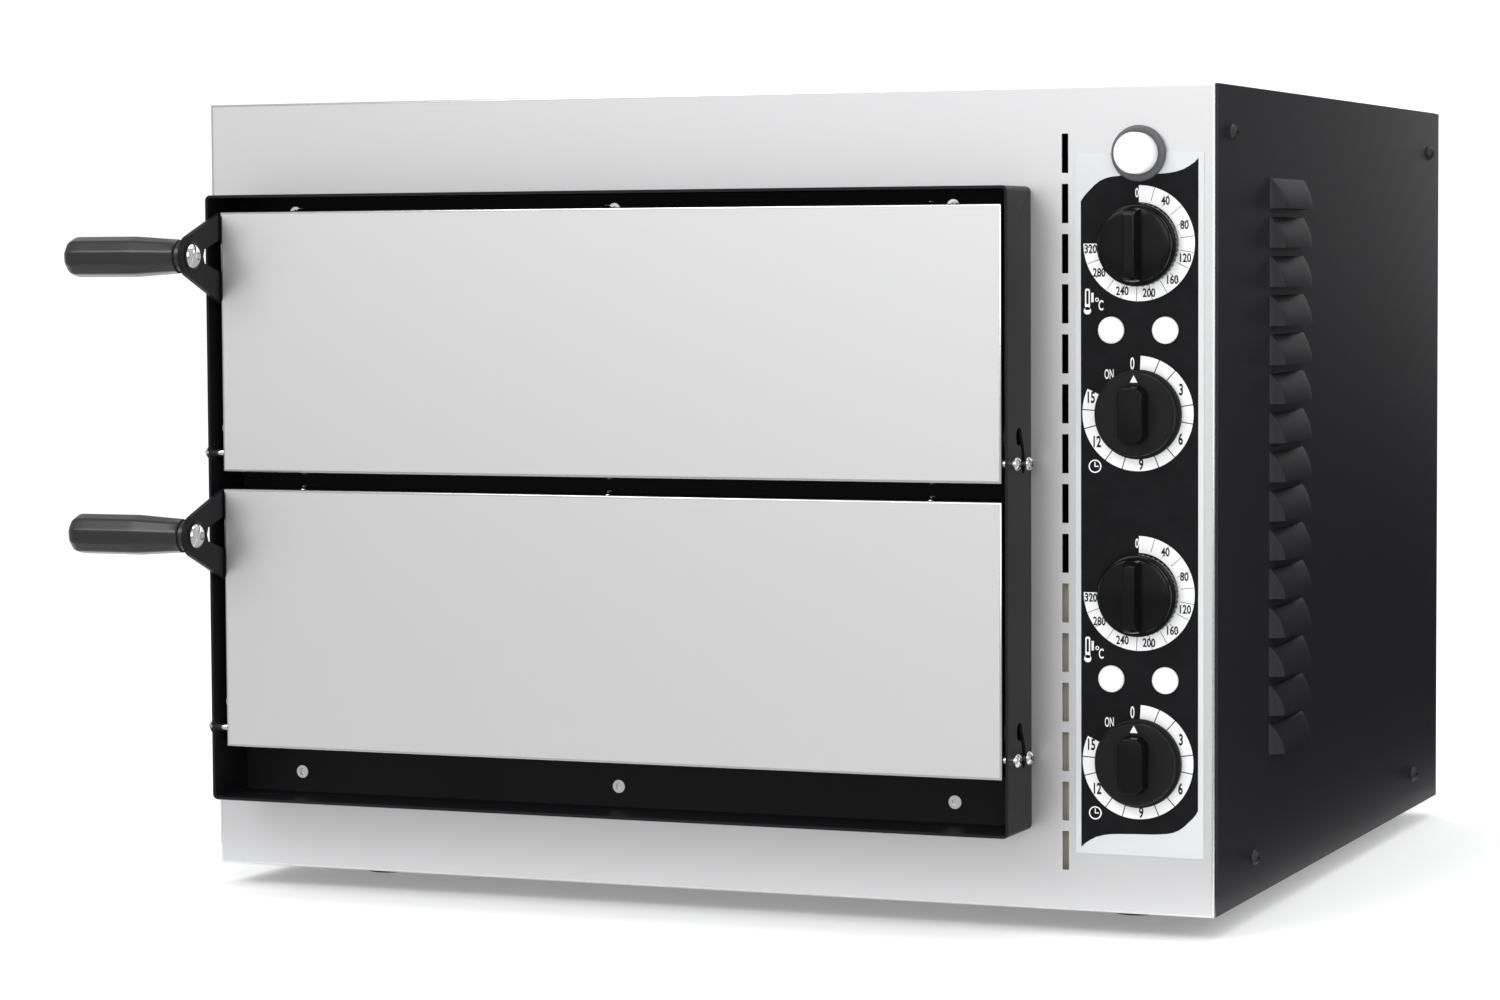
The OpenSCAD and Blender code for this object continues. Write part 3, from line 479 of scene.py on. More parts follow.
# Each finish: the effect it is worked with, its colour, the range that the effect gives its
# brightness and its roughness, the bump's depth in millimetres, the effect's own settings, and
# the shader's own settings.
FINISHES = {
    "fascia_steel": grain("fascia_steel", (0.93, 1.05), (0.30, 0.40), 0.004, (3.0, 60.0, 420.0)),
    "door_steel": grain("door_steel", (0.90, 1.06), (0.24, 0.36), 0.005, (2.0, 60.0, 480.0)),
    # painted highlight: a lighter copy of the door steel, put on the folded edges of the fascia and the door
    # skins
    "painted_highlight_edge": grain("door_steel", (1.0, 1.25), (0.18, 0.28), 0.002, (30.0, 60.0, 480.0)),
    "chamber_steel": fleck("chamber", (0.82, 1.1), (0.38, 0.55), 0.01, 500, 18, Metallic=1.0),
    "black_coat": fleck("black_coat", (0.85, 1.2), (0.30, 0.38), 0.005, 1500, 9, Specular_IOR_Level=0.36),
    "plate_coat": fleck("black_coat", (0.85, 1.2), (0.36, 0.46), 0.008, 1300, 20, Specular_IOR_Level=0.06),
    "frame_coat": fleck("black_coat", (0.8, 1.3), (0.42, 0.54), 0.02, 1100, 14, Specular_IOR_Level=0.12),
    "zinc_screw": fleck("zinc", (0.92, 1.05), (0.14, 0.26), 0.004, 900, 60, Metallic=1.0),
    "black_screw": fleck("black_coat", (1.5, 2.6), (0.28, 0.42), 0.006, 1200, 80, Metallic=0.6),
    "knob_gloss": fleck("knob", (0.9, 1.15), (0.12, 0.2), 0.002, 700, 30, Specular_IOR_Level=0.12),
    "knob_matte": fleck("knob", (1.4, 2.0), (0.40, 0.52), 0.006, 1500, 30, Specular_IOR_Level=0.12),
    "grip_plastic": fleck("grip", (0.85, 1.2), (0.24, 0.34), 0.006, 1300, 22, Specular_IOR_Level=0.45),
    "bezel_plastic": fleck("bezel", (0.9, 1.12), (0.30, 0.42), 0.008, 1300, 40),
    "label_film": fleck("film", (0.97, 1.03), (0.32, 0.42), 0.002, 1200, 25),
    "label_field": fleck("field", (0.75, 1.5), (0.34, 0.46), 0.004, 1600, 120, Specular_IOR_Level=0.06),
    "white_ink": fleck("ink", (0.96, 1.02), (0.36, 0.48), 0.002, 1500, 60),
    "black_ink": fleck("field", (0.6, 1.3), (0.36, 0.48), 0.002, 1500, 60, Specular_IOR_Level=0.15),
    # painted glow: the faint emission lifts the milky lamp lenses and the switch button
    "white_lens": fleck("lens", (0.97, 1.01), (0.16, 0.24), 0.001, 400, 40, Subsurface_Weight=0.25,
                        Subsurface_Radius=(0.004, 0.004, 0.004), Coat_Weight=0.5,
                        Emission_Strength=0.02, Emission_Color=(1.0, 1.0, 1.0, 1.0)),
    "deck_stone": ("matted_fibres", "stone", (0.82, 1.12), (0.8, 0.95), 0.12, {"Size": 90.0}, {}),
    "mineral_wool": ("matted_fibres", "wool", (0.45, 1.35), (0.9, 1.0), 0.8,
                     {"Size": 220.0}, {"Sheen Weight": 0.3}),
    "element_steel": fleck("element", (0.6, 1.4), (0.45, 0.65), 0.01, 700, 30, Metallic=0.85),
    "copper": fleck("copper", (0.8, 1.1), (0.25, 0.4), 0.004, 700, 60, Metallic=1.0),
    "rubber": fleck("rubber", (0.8, 1.3), (0.75, 0.9), 0.02, 900, 60),
    "ivory_plastic": fleck("ivory", (0.93, 1.04), (0.4, 0.52), 0.006, 900, 40),
}


def new_material(name):
    """A material, its tree, its Principled shader and its coordinates."""
    material = bpy.data.materials.new(name)
    material.use_nodes = True
    tree = material.node_tree
    surface = next(n for n in tree.nodes if n.type == "BSDF_PRINCIPLED")
    return material, tree, surface, put(tree, "ShaderNodeTexCoord")


def shaded(tree, paint, factor):
    """A colour multiplied by a factor."""
    mix = put(tree, "ShaderNodeMix", data_type="RGBA", blend_type="MULTIPLY")
    mix.inputs[0].default_value = 1.0
    mix.inputs[6].default_value = paint
    tree.links.new(factor, mix.inputs[7])
    return mix.outputs[2]


def finish(name):
    """A finish's material: its effect on Object coordinates shades the colour, the roughness and a bump."""
    found = bpy.data.materials.get(name)
    if found:
        return found
    effect, paint, bright, rough, depth, settings, shader = FINISHES[name]
    material, tree, surface, place = new_material(name)
    work = tree.nodes.new("ShaderNodeGroup")
    work.node_tree = bpy.data.node_groups.get(effect) or GROUPS[effect]()
    tree.links.new(place.outputs["Object"], work.inputs["Vector"])
    for key, value in settings.items():
        work.inputs[key].default_value = value
    tone = work.outputs[0]
    tree.links.new(shaded(tree, tint(paint), span(tree, tone, *bright)), surface.inputs["Base Color"])
    tree.links.new(span(tree, tone, *rough), surface.inputs["Roughness"])
    bump = put(tree, "ShaderNodeBump", Height=work.outputs["Height"], Strength=0.6, Distance=depth * MM)
    tree.links.new(bump.outputs[0], surface.inputs["Normal"])
    for key, value in shader.items():
        surface.inputs[key].default_value = value
    return material


# ---------------------------------------------------------------- cabinet


def both(*pieces):
    """The names of both decks' nodes of each kind."""
    return [f"{deck}_{piece}" for piece in pieces for deck in DECKS]


# The CAD nodes that keep their shape: the finish of each, and whether its cut edges are softened.
KEPT = {
    "black_coat": (["top_panel", "back_panel", "base_pan"], True),
    "plate_coat": (both("handle_bracket"), True),
    "frame_coat": (["door_frame", *both("door_pan")], True),
    "chamber_steel": (["control_bay_divider", *both("chamber", "thermostat")], True),
    "deck_stone": (both("deck_stone"), True),
    "element_steel": (both("roof_element", "floor_element"), False),
    "mineral_wool": (["insulation_decks", "insulation_walls", *both("door_insulation")], False),
    "copper": (both("sensing_bulb"), False),
    "zinc_screw": (both("thermostat_shaft", "timer_shaft"), False),
    "rubber": (["rubber_feet"], True),
    "bezel_plastic": (["cable_gland", "switch_body"], True),
    "ivory_plastic": (["terminal_block", "pilot_lamp_bodies", *both("timer")], True),
    "label_film": (["control_label"], False),
}


class OVEN_OT_frame_finishes(bpy.types.Operator):
    """Gives the CAD pieces that keep their shape their finishes, and softens their cut edges"""

    bl_idname = "oven.frame_finishes"
    bl_label = "Frame finishes"
    bl_options = {"REGISTER", "UNDO"}

    def execute(self, context):
        soft = context.scene.oven_sizes.soft_edge / MM
        for kind, (names, softened) in KEPT.items():
            for name in names:
                piece = frame["nodes"][name]
                piece.data.materials.clear()
                piece.data.materials.append(finish(kind))
                if softened:
                    join = piece.modifiers.new("joined_faces", "WELD")
                    join.merge_threshold = 1e-6
                    bevel(piece, soft)
        return {"FINISHED"}


def rimmed_sheet(shape, low, high, front, thickness, edge, hem, windows, paint_rim=0):
    """A sheet in x and z with its border folded back. The folded edge is one profile of (inset, y)
    carried round the four corners: flat, a quarter round of the edge's radius, and the hem."""
    rim = edge + 0.3
    inner = (low[0] + rim, high[0] - rim, low[1] + rim, high[1] - rim)
    a = lines(inner[0], inner[1], windows, 0)
    b = lines(inner[2], inner[3], windows, 1)
    points, faces = flat_sheet(a, b, windows, front + thickness, front)
    shape.shell([(points[:, [0, 2, 1]], faces)])
    round_edge = edge - arc((0, 0), edge, 0, 90, 7)[:, ::-1]
    profile = np.concatenate([
        [(rim, front)], round_edge * (1, 1) + (0, front),
        [(0, front + hem - 0.3), (0.3, front + hem), (thickness, front + hem),
         (thickness, front + thickness + 0.2), (rim, front + thickness)],
    ])
    corners = np.array([(low[0], low[1], 1, 1), (high[0], low[1], -1, 1),
                        (high[0], high[1], -1, -1), (low[0], high[1], 1, -1)], float)
    d, y = profile.T
    x, z = corners[:, :1] + corners[:, 2:3] * d, corners[:, 1:2] + corners[:, 3:] * d
    ring = np.stack([x, np.repeat(y[None], 4, 0), z], -1)
    return shape.shell([grid(ring, wrap_u=True, wrap_v=True)], paint_rim)


def mouth_windows():
    """The two chamber mouths in x and z, from the chambers' own boxes without their flanges."""
    found = []
    for deck in DECKS:
        low, high = box_mm(f"{deck}_deck_stone")
        flange_low, flange_high = box_mm(f"{deck}_chamber")
        found.append((low[0] - 4.5, high[0] + 4.5, flange_low[2] + 12, flange_high[2] - 12))
    return found


class OVEN_OT_fascia(bpy.types.Operator):
    """Builds the satin steel fascia: a sheet with a folded border, its column of slots and its flanges"""

    bl_idname = "oven.fascia"
    bl_label = "Fascia"
    bl_options = {"REGISTER", "UNDO"}

    def execute(self, context):
        s = sizes()
        low, high = box_mm("front_panel")
        x, z0, count = high[0] - 78, 20.9, 15
        slots = [(x - s["slot_width"] / 2, x + s["slot_width"] / 2, z0 + i * s["slot_pitch"],
                  z0 + i * s["slot_pitch"] + s["slot_height"]) for i in range(count)]
        shape = Shape()
        rimmed_sheet(shape, (low[0], low[2]), (high[0], high[2]), 0.0, 1.0, s["fascia_edge"], 2.2,
                     slots + mouth_windows(), paint_rim=1)
        for side in (low[0] + 1, high[0] - 2):
            shape.shell(block((side, 2.4, 4), (side + 1, 40, high[2] - 4)))
        for level in (1, high[2] - 2):
            shape.shell(block((low[0] + 4, 2.4, level), (high[0] - 4, 40, level + 1)))
        # the folded border takes the painted highlight edge
        shape.build("fascia", "cabinet", "fascia_steel", ["fascia_steel", "painted_highlight_edge"], ["front_panel"])
        # a thin black sheet behind the upper nine slots: painted shade inside the slots
        shade_sheet = block((x - 4.8, 2.5, 168.5), (x - 4.4, 200, high[2] - 14))
        Shape().shell(shade_sheet).build("slot_shade_sheet", "cabinet", "black_coat", ["frame_coat"])
        return {"FINISHED"}


# The side panels' outer face, the louvers' ends, lowest edge and number, and the screws' places.
SIDE_FACE = 285.0
LOUVER_Y, LOUVER_Z, LOUVERS = (102.0, 171.0), 71.2, 15
SIDE_SCREWS = ((28.7, 394.4), (473.2, 393.4), (72, 21.3), (436.7, 21.3))


def louver(s, y0, y1, z0, panel, side):
    """A pressed hood as a closed wall. It stands out by depth * f * e: f = sin(v pi/2)^0.85, where v
    runs from its top edge down to its lip, and e is the distance from its nearer end over f times
    the end's slope, held to 1 through a short quadratic. Its inner face is set one wall further in."""
    v = np.linspace(0, 1, 15)[:, None]
    f = np.sin(v * math.pi / 2) ** 0.85
    t = np.array([0, 0.45, 0.86, 0.91, 0.96, 1.0, 1.04, 1.09, 1.14])[None, :]
    e = np.where(t < 0.86, t, 1 - (1.14 - t) ** 2 / 0.56)
    slope = s["louver_end"] * f
    inner = np.linspace(0, 1, 8)[None, 1:-1]
    left, right = y0 + 1.14 * slope, y1 - 1.14 * slope
    y = np.concatenate([y0 + t * slope, left + (right - left) * inner, (y1 - t * slope)[:, ::-1]], 1)
    rise = np.concatenate([e, np.ones_like(inner), e[:, ::-1]], 1)
    out = s["louver_out"] * f * rise
    z = z0 + s["louver_height"] * (1 - v) + 0 * y
    outer = np.stack([side * (panel + out), y, z], -1)
    inner = np.stack([side * (panel + np.maximum(out - 0.9, -0.9)), y, z], -1)
    return thick_grid(outer, inner)


class OVEN_OT_side_panels(bpy.types.Operator):
    """Builds the two black side panels with their pressed louvers, and their dome screws"""

    bl_idname = "oven.side_panels"
    bl_label = "Side panels"
    bl_options = {"REGISTER", "UNDO"}

    def execute(self, context):
        s = sizes()
        screws = Shape()
        for side, word in ((1, "right"), (-1, "left")):
            low, high = box_mm(f"side_panel_{word}")
            starts = [LOUVER_Z + i * s["louver_pitch"] for i in range(LOUVERS)]
            windows = [(*LOUVER_Y, z, z + s["louver_height"]) for z in starts]
            points, faces = flat_sheet(lines(low[1], high[1], windows, 0), lines(low[2], high[2], windows, 1),
                                       windows, SIDE_FACE - 1, SIDE_FACE)
            points = points[:, [2, 0, 1]] * (side, 1, 1)
            shape = Shape().shell([(points, faces)])
            for z in starts:
                shape.shell(louver(s, *LOUVER_Y, z, SIDE_FACE, side))
            shape.build(f"louvered_panel_{word}", "cabinet", "black_coat", ["black_coat"],
                        [f"side_panel_{word}"], smooth=50)
            for y, z in SIDE_SCREWS:
                screw(screws, (side * SIDE_FACE, y, z), (side, 0, 0), 4.2, 3.2, 2, 5, "cross", 2.2, 1.5)
        screws.build("side_screws", "cabinet", "black_screw", ["black_screw"], ["side_panel_screws"])
        back = Shape()
        depth = box_mm("back_panel")[1][1]
        for x in (-255, 0, 255):
            for z in (20, 396):
                screw(back, (x, depth, z), (0, 1, 0), 4, 2, 2, 5, "cross", 2.1, 1.2)
        back.build("back_screws", "cabinet", "black_screw", ["black_screw"], ["back_panel_screws"])
        return {"FINISHED"}


# ---------------------------------------------------------------- screws


def recess_reach(angle, kind, size):
    """How far a recess reaches at each angle: a hexagon's flats, or the longer of a cross's arms."""
    if kind == "hex":
        return size / np.cos((angle + math.pi / 6) % (math.pi / 3) - math.pi / 6)
    part = lambda a: np.maximum(np.abs(a), 1e-3)
    arm = lambda a: np.minimum(size / part(np.cos(a)), 0.24 * size / part(np.sin(a)))
    return np.maximum(arm(angle), arm(angle + math.pi / 2))


def screw(shape, origin, direction, head_r, head_h, shank_r, shank, kind, recess, depth, flat=False):
    """A screw's head and shank. Round the recess the head's height over radius r is
    h(1 - (r / R)^2)^0.6, or level when it is countersunk; the recess drops straight by its depth."""
    t = np.linspace(0, TAU, 96, endpoint=False)
    inner = recess_reach(t, kind, recess)
    power = 0.0 if flat else 0.6
    crown = lambda r: head_h * np.maximum(1 - (r / head_r) ** 2, 0) ** power
    rows = [(inner * k, np.full_like(t, head_h - depth)) for k in (0.0, 0.96)]
    across = [inner + (head_r - inner) * k for k in (0, 0.06, 0.2, 0.4, 0.6, 0.78, 0.9, 0.97)]
    rows += [(r, crown(r)) for r in across]
    rim = head_h - 0.3 if flat else 0.12
    level = ((head_r, rim), (head_r, 0.0), (shank_r, -0.01), (shank_r, -shank), (0.0, -shank))
    rows += [(np.full_like(t, r), np.full_like(t, h)) for r, h in level]
    p = np.stack([np.stack([r * np.cos(t), r * np.sin(t), h], -1) for r, h in rows])
    shape.shell([grid(aim(p, origin, direction), wrap_v=True)])


class OVEN_OT_frame_screws(bpy.types.Operator):
    """Builds the countersunk socket screws of the box frame, and the folds of its corners"""

    bl_idname = "oven.frame_screws"
    bl_label = "Frame screws"
    bl_options = {"REGISTER", "UNDO"}

    def execute(self, context):
        low, high = box_mm("door_frame")
        shape = Shape()
        for x in (-231.3, -41.7, 147):
            for z in (low[2] + 12.4, high[2] - 9.6):
                screw(shape, (x, -1.5, z), (0, -1, 0), 3.5, 0.25, 2, 6, "hex", 1.7, 1.3, flat=True)
        shape.build("countersunk_screws", "cabinet", "zinc_screw", ["zinc_screw"], ["frame_screws"])
        seams = Shape()
        folds = (((-35, 350), (-18.4, 350.8), (-2.2, 366.1)), ((-36, 58), (-18.5, 57.6), (-2.4, 42.2)))
        for path in folds:
            path = np.array(path, float)
            for side in (1, -1):
                wall = high[0] if side > 0 else low[0]
                for a, b in zip(path[:-1], path[1:]):
                    n = np.array([-(b - a)[1], (b - a)[0]]) / np.linalg.norm(b - a) * 0.22
                    section = ((-0.2, -1), (0.07, -0.3), (0.07, 0.3), (-0.2, 1))
                    ends = [[(wall + side * out, *(p + n * k)) for out, k in section] for p in (a, b)]
                    seams.shell(loft(np.array(ends)))
        seams.build("corner_folds", "cabinet", "black_coat", ["frame_coat"])
        return {"FINISHED"}


# ---------------------------------------------------------------- doors and handles


class OVEN_OT_doors(bpy.types.Operator):
    """Builds each door's folded steel skin, its edge screws and its hinge screws"""

    bl_idname = "oven.doors"
    bl_label = "Doors"
    bl_options = {"REGISTER", "UNDO"}

    def execute(self, context):
        s = sizes()
        for deck in DECKS:
            body = f"{deck}_door"
            low, high = box_mm(f"{deck}_door_skin")
            shape = Shape()
            rimmed_sheet(shape, (low[0], low[2]), (high[0], high[2]), low[1], 1.0, s["skin_edge"], 3.0, [],
                         paint_rim=1)
            # the folded border takes the painted highlight edge
            shape.build(f"{deck}_skin", body, "door_steel", ["door_steel", "painted_highlight_edge"],
                        [f"{deck}_door_skin"])
            edge = Shape()
            for x in (-217, -37, 142):
                screw(edge, (x, -22, high[2] - 1), (0, 0, 1), 3, 2.6, 1.5, 5, "cross", 1.6, 0.9)
                screw(edge, (x, -22, low[2] + 1), (0, 0, -1), 3, 2.6, 1.5, 5, "cross", 1.6, 0.9)
            edge.build(f"{deck}_edge_screws", body, "zinc_screw", ["zinc_screw"],
                       [f"{deck}_door_edge_screws"])
            hinge = Shape()
            f_low, f_high = box_mm("door_frame")
            turn = math.radians(-2.2)
            stop = (18.5 * math.cos(turn), 18.5 * math.sin(turn), 2.0)
            for y, z, r in ((0, 0, 2.5), stop):
                for side, wall in ((1, f_high[0]), (-1, f_low[0])):
                    place = (wall + side * 2.5, -31 + y, low[2] + 10 + z)
                    screw(hinge, place, (side, 0, 0), 3.5, 2.6, r, 13.5, "hex", 1.5, 1.5)
            hinge.build(f"{deck}_hinge_screws", body, "zinc_screw", ["zinc_screw"],
                        [f"{deck}_door_hinge_screws"])
        return {"FINISHED"}


def grip_surface(s, place):
    """A grip along -X from its plate. At distance d its radius is a neck's up to a groove, goes from
    the waist to the full radius on a straight taper, and falls in a quarter round at the tip. Past
    the groove it has ten flats: round the axis a flat's reach is cos(half a step) / cos of the angle
    from its middle, cut short at the corners, and less so towards the tip."""
    length, waist, full = s["grip_length"], s["grip_waist"], s["grip_radius"]
    groove, taper, corner = 5.0, 31.0, 6.2
    rows = [(0, 0), (0, waist - 0.8), (3.8, waist - 0.8), (4.1, waist - 1.3), (4.7, waist - 1.3),
            (4.9, waist - 0.4), (5.4, waist + 0.1), (6.2, waist + 0.12)]
    rows += [(d, waist + (full - waist) * (d - groove) / (taper - groove)) for d in (12, 18, 24, 29)]
    rows += [(taper, full), (taper + 4, full), (50, full), (60, full)]
    turn = np.linspace(0, math.pi / 2, 10)
    rows += [(length - corner * (1 - math.sin(a)) - 0.4, full - corner * (1 - math.cos(a))) for a in turn]
    rows += [(length - short, (full - corner) * k) for short, k in ((0.2, 0.7), (0.05, 0.35), (0, 0))]
    d, r = np.array(rows, float).T
    t = np.linspace(0, TAU, 120, endpoint=False)
    step, first = TAU / 10, math.radians(14)
    flat = np.minimum(np.cos(step / 2) / np.cos((t - first) % step - step / 2), 0.988)
    share = np.clip((d - groove) / 1.2, 0, 1) * (1 - 0.4 * np.clip((d - length + corner) / corner, 0, 1))
    reach = r[:, None] * (flat[None] * share[:, None] + 0.975 * (1 - share[:, None]))
    return np.stack([np.repeat(-d[:, None], len(t), 1), -reach * np.cos(t), reach * np.sin(t)], -1) + place


class OVEN_OT_handles(bpy.types.Operator):
    """Builds each handle's faceted grip, its button-head screw and the dark washer under it"""

    bl_idname = "oven.handles"
    bl_label = "Handles"
    bl_options = {"REGISTER", "UNDO"}

    def execute(self, context):
        s = sizes()
        for deck in DECKS:
            body = f"{deck}_door"
            low, high = box_mm(f"{deck}_handle_screw")
            z, y = (low[2] + high[2]) / 2, (low[1] + high[1]) / 2
            plate = box_mm(f"{deck}_handle_bracket")[0][0]
            grip = Shape().shell([grid(grip_surface(s, np.array([plate, y, z])), wrap_v=True)])
            grip.build(f"{deck}_grip", body, "grip_plastic", ["grip_plastic"], [f"{deck}_handle_grip"],
                       smooth=24)
            fixing, seat = Shape(), (plate + 2.5, y, z)
            screw(fixing, seat, (1, 0, 0), 6.8, 4.0, 3, 12, "hex", 2.3, 2.4)
            washer = [(0, 0.5), (7.9, 0.5), (8.3, 0.3), (8.3, 0), (0, 0)]
            fixing.shell(turned(washer, seat, (1, 0, 0)), 1)
            fixing.build(f"{deck}_grip_screw", body, "zinc_screw", ["zinc_screw", "frame_coat"],
                         [f"{deck}_handle_screw"])
        return {"FINISHED"}


# ---------------------------------------------------------------- controls


def lettering(words, x, z, height, squeeze, weight, y, thickness=0.02):
    """Generic figures as thin closed solids in the label's plane: the built-in font's outlines,
    squeezed sideways and thickened, their height that of a capital letter."""
    curve = bpy.data.curves.new("figures", "FONT")
    curve.body, curve.align_x, curve.align_y = words, "CENTER", "CENTER"
    curve.resolution_u, curve.extrude, curve.offset = 3, 0.5, weight
    text = add_object("figures", curve)
    mesh = bpy.data.meshes.new_from_object(text.evaluated_get(bpy.context.evaluated_depsgraph_get()))
    flat = np.zeros(len(mesh.vertices) * 3)
    mesh.vertices.foreach_get("co", flat)
    flat = flat.reshape(-1, 3)
    faces = [list(f.vertices) for f in mesh.polygons]
    scale = height / 0.7
    middle = (flat.max(0) + flat.min(0)) / 2
    points = np.stack([x + (flat[:, 0] - middle[0]) * scale * squeeze, y - flat[:, 2] * thickness,
                       z + (flat[:, 1] - middle[1]) * scale], 1)
    bpy.data.objects.remove(text)
    bpy.data.curves.remove(curve)
    bpy.data.meshes.remove(mesh)
    return [(points, faces)]


def dial_point(centre, radius, angle):
    """A point at an angle in degrees clockwise from the top of a dial."""
    a = np.radians(angle)
    return np.stack([centre[0] + radius * np.sin(a), centre[1] + radius * np.cos(a)], -1)


def band(centre, inner, outer, start, end, y0, y1):
    """A flat ring sector round a dial, as a closed solid."""
    angle = np.linspace(start, end, max(3, int(abs(end - start) / 3)))
    outline = np.concatenate([dial_point(centre, outer, angle), dial_point(centre, inner, angle[::-1])])
    return prism(outline, y0, y1)


def bar(centre, angle, inner, outer, width, y0, y1):
    """A radial mark on a dial, as a closed solid."""
    a, b = dial_point(centre, inner, angle), dial_point(centre, outer, angle)
    n = np.array([(b - a)[1], -(b - a)[0]]) / np.linalg.norm(b - a) * width / 2
    return prism(np.stack([a - n, b - n, b + n, a + n]), y0, y1)


# The label's layers, by how far each one's face stands before the fascia's.
FILM, FIELD, INK, TOP_INK = -0.4, -0.44, -0.47, -0.5
UNDER_INK, UNDER_TOP_INK = FIELD + 0.02, INK + 0.01
# The column's middle, and how far each deck's controls stand above the lower deck's.
CONTROL_X = 245.0
LIFTS = (0.0, 175.9)


class OVEN_OT_label(bpy.types.Operator):
    """Prints the label: the dark field, the dials' scales with their numbers, and the small signs"""

    bl_idname = "oven.label"
    bl_label = "Printed label"
    bl_options = {"REGISTER", "UNDO"}

    def execute(self, context):
        s = sizes()
        crown = np.array([
            (214.4, 360), (215.6, 361.9), (217, 363.7), (219, 365.6), (221.6, 368.2), (224.5, 370.3),
            (227.6, 371.6), (231, 372.3), (238, 372.9), (247, 373.1), (255.5, 373.4), (260, 373.7),
            (263.7, 374.3), (267.6, 375.4), (271, 377.2), (273.6, 379.0), (275.6, 381.0),
        ])
        outline = np.concatenate([crown, (490.0, 414.0) - crown])
        Shape().shell(prism(outline[::-1], FILM + 0.1, FIELD)).build(
            "label_field", "cabinet", "label_film", ["label_field"])
        white, black = Shape(), Shape()
        inner, outer = s["ring_inner"], s["ring_outer"]
        for lift in LIFTS:
            warm, timed = (244.8, 162.9 + lift), (244.2, 77.6 + lift)
            white.shell(band(warm, inner, outer, 0, 270, UNDER_INK, INK))
            for k in range(1, 17):
                black.shell(bar(warm, k * 16.6, inner + 1.5, outer - 0.1, 0.28, UNDER_TOP_INK, TOP_INK))
            for number, angle in zip(range(40, 321, 40), (33, 69, 107, 136, 168, 200, 235, 264)):
                x, z = dial_point(warm, 25.3, angle)
                white.shell(block((x - 2.9, INK - 0.01, z - 2.1), (x + 2.9, UNDER_TOP_INK, z + 2.1)))
                black.shell(lettering(str(number), x, z, 4.2, 0.74, 0.026, TOP_INK))
            white.shell(lettering("0", 243.8, 188.2 + lift, 4.6, 0.6, 0.012, INK))
            white.shell(band(timed, inner + 0.6, outer, 3, 295, UNDER_INK, INK))
            for minute in (1, 2, 4, 5, 7, 8, 10, 11, 13, 14):
                angle = 3.6 + minute * 19.28
                black.shell(bar(timed, angle, inner, outer + 0.05, 0.5, UNDER_TOP_INK, TOP_INK))
            for number, angle in zip((3, 6, 9, 12, 15), (61.6, 119.5, 176, 236, 288)):
                x, z = dial_point(timed, 25.6, angle)
                black.shell(lettering(str(number), x, z, 5.5, 0.62, 0.028, TOP_INK))
            x, z = dial_point(timed, 27.0, -6)
            white.shell(lettering("0", x, z - 1.7, 6.0, 0.55, 0.012, INK))
            x, z = dial_point(timed, 26.8, -34)
            white.shell(lettering("ON", x, z - 2.5, 4.9, 0.45, 0.012, INK))
            # a thermometer and the unit, lower left of the thermostat's scale
            tx, tz = 217.9, 134.0 + lift
            stem = [(-1.3, -4.5), (1.3, -4.5), (1.3, 5.5), (0.7, 6.3), (-0.7, 6.3), (-1.3, 5.5)]
            white.shell(band((tx, tz - 4.8), 0.02, 1.9, 0, 360, UNDER_INK, INK))
            white.shell(prism(np.array(stem) + (tx, tz), UNDER_INK, INK))
            black.shell(block((tx - 0.6, TOP_INK, tz - 1.5), (tx + 0.6, UNDER_TOP_INK, tz + 5.2)))
            white.shell(block((tx + 2.0, INK, tz - 0.6), (tx + 3.2, UNDER_INK, tz + 4.2)))
            white.shell(band((tx + 5.0, tz + 0.7), 0.55, 1.0, 0, 359, UNDER_INK, INK))
            white.shell(lettering("C", tx + 7.1, tz - 2.1, 5.0, 0.55, 0.012, INK))
            # a clock, lower left of the timer's scale
            clock = (221.8, 50.8 + lift)
            hands = [(-0.3, -0.3), (1.8, -0.3), (1.8, 0.25), (0.25, 0.25), (0.25, 2.2), (-0.3, 2.2)]
            white.shell(band(clock, 2.75, 3.35, 0, 359.5, UNDER_INK, INK))
            white.shell(prism(np.array(hands) + clock, UNDER_INK, INK))
        white.build("label_white_print", "cabinet", "label_film", ["white_ink"])
        black.build("label_black_print", "cabinet", "label_film", ["black_ink"])
        return {"FINISHED"}


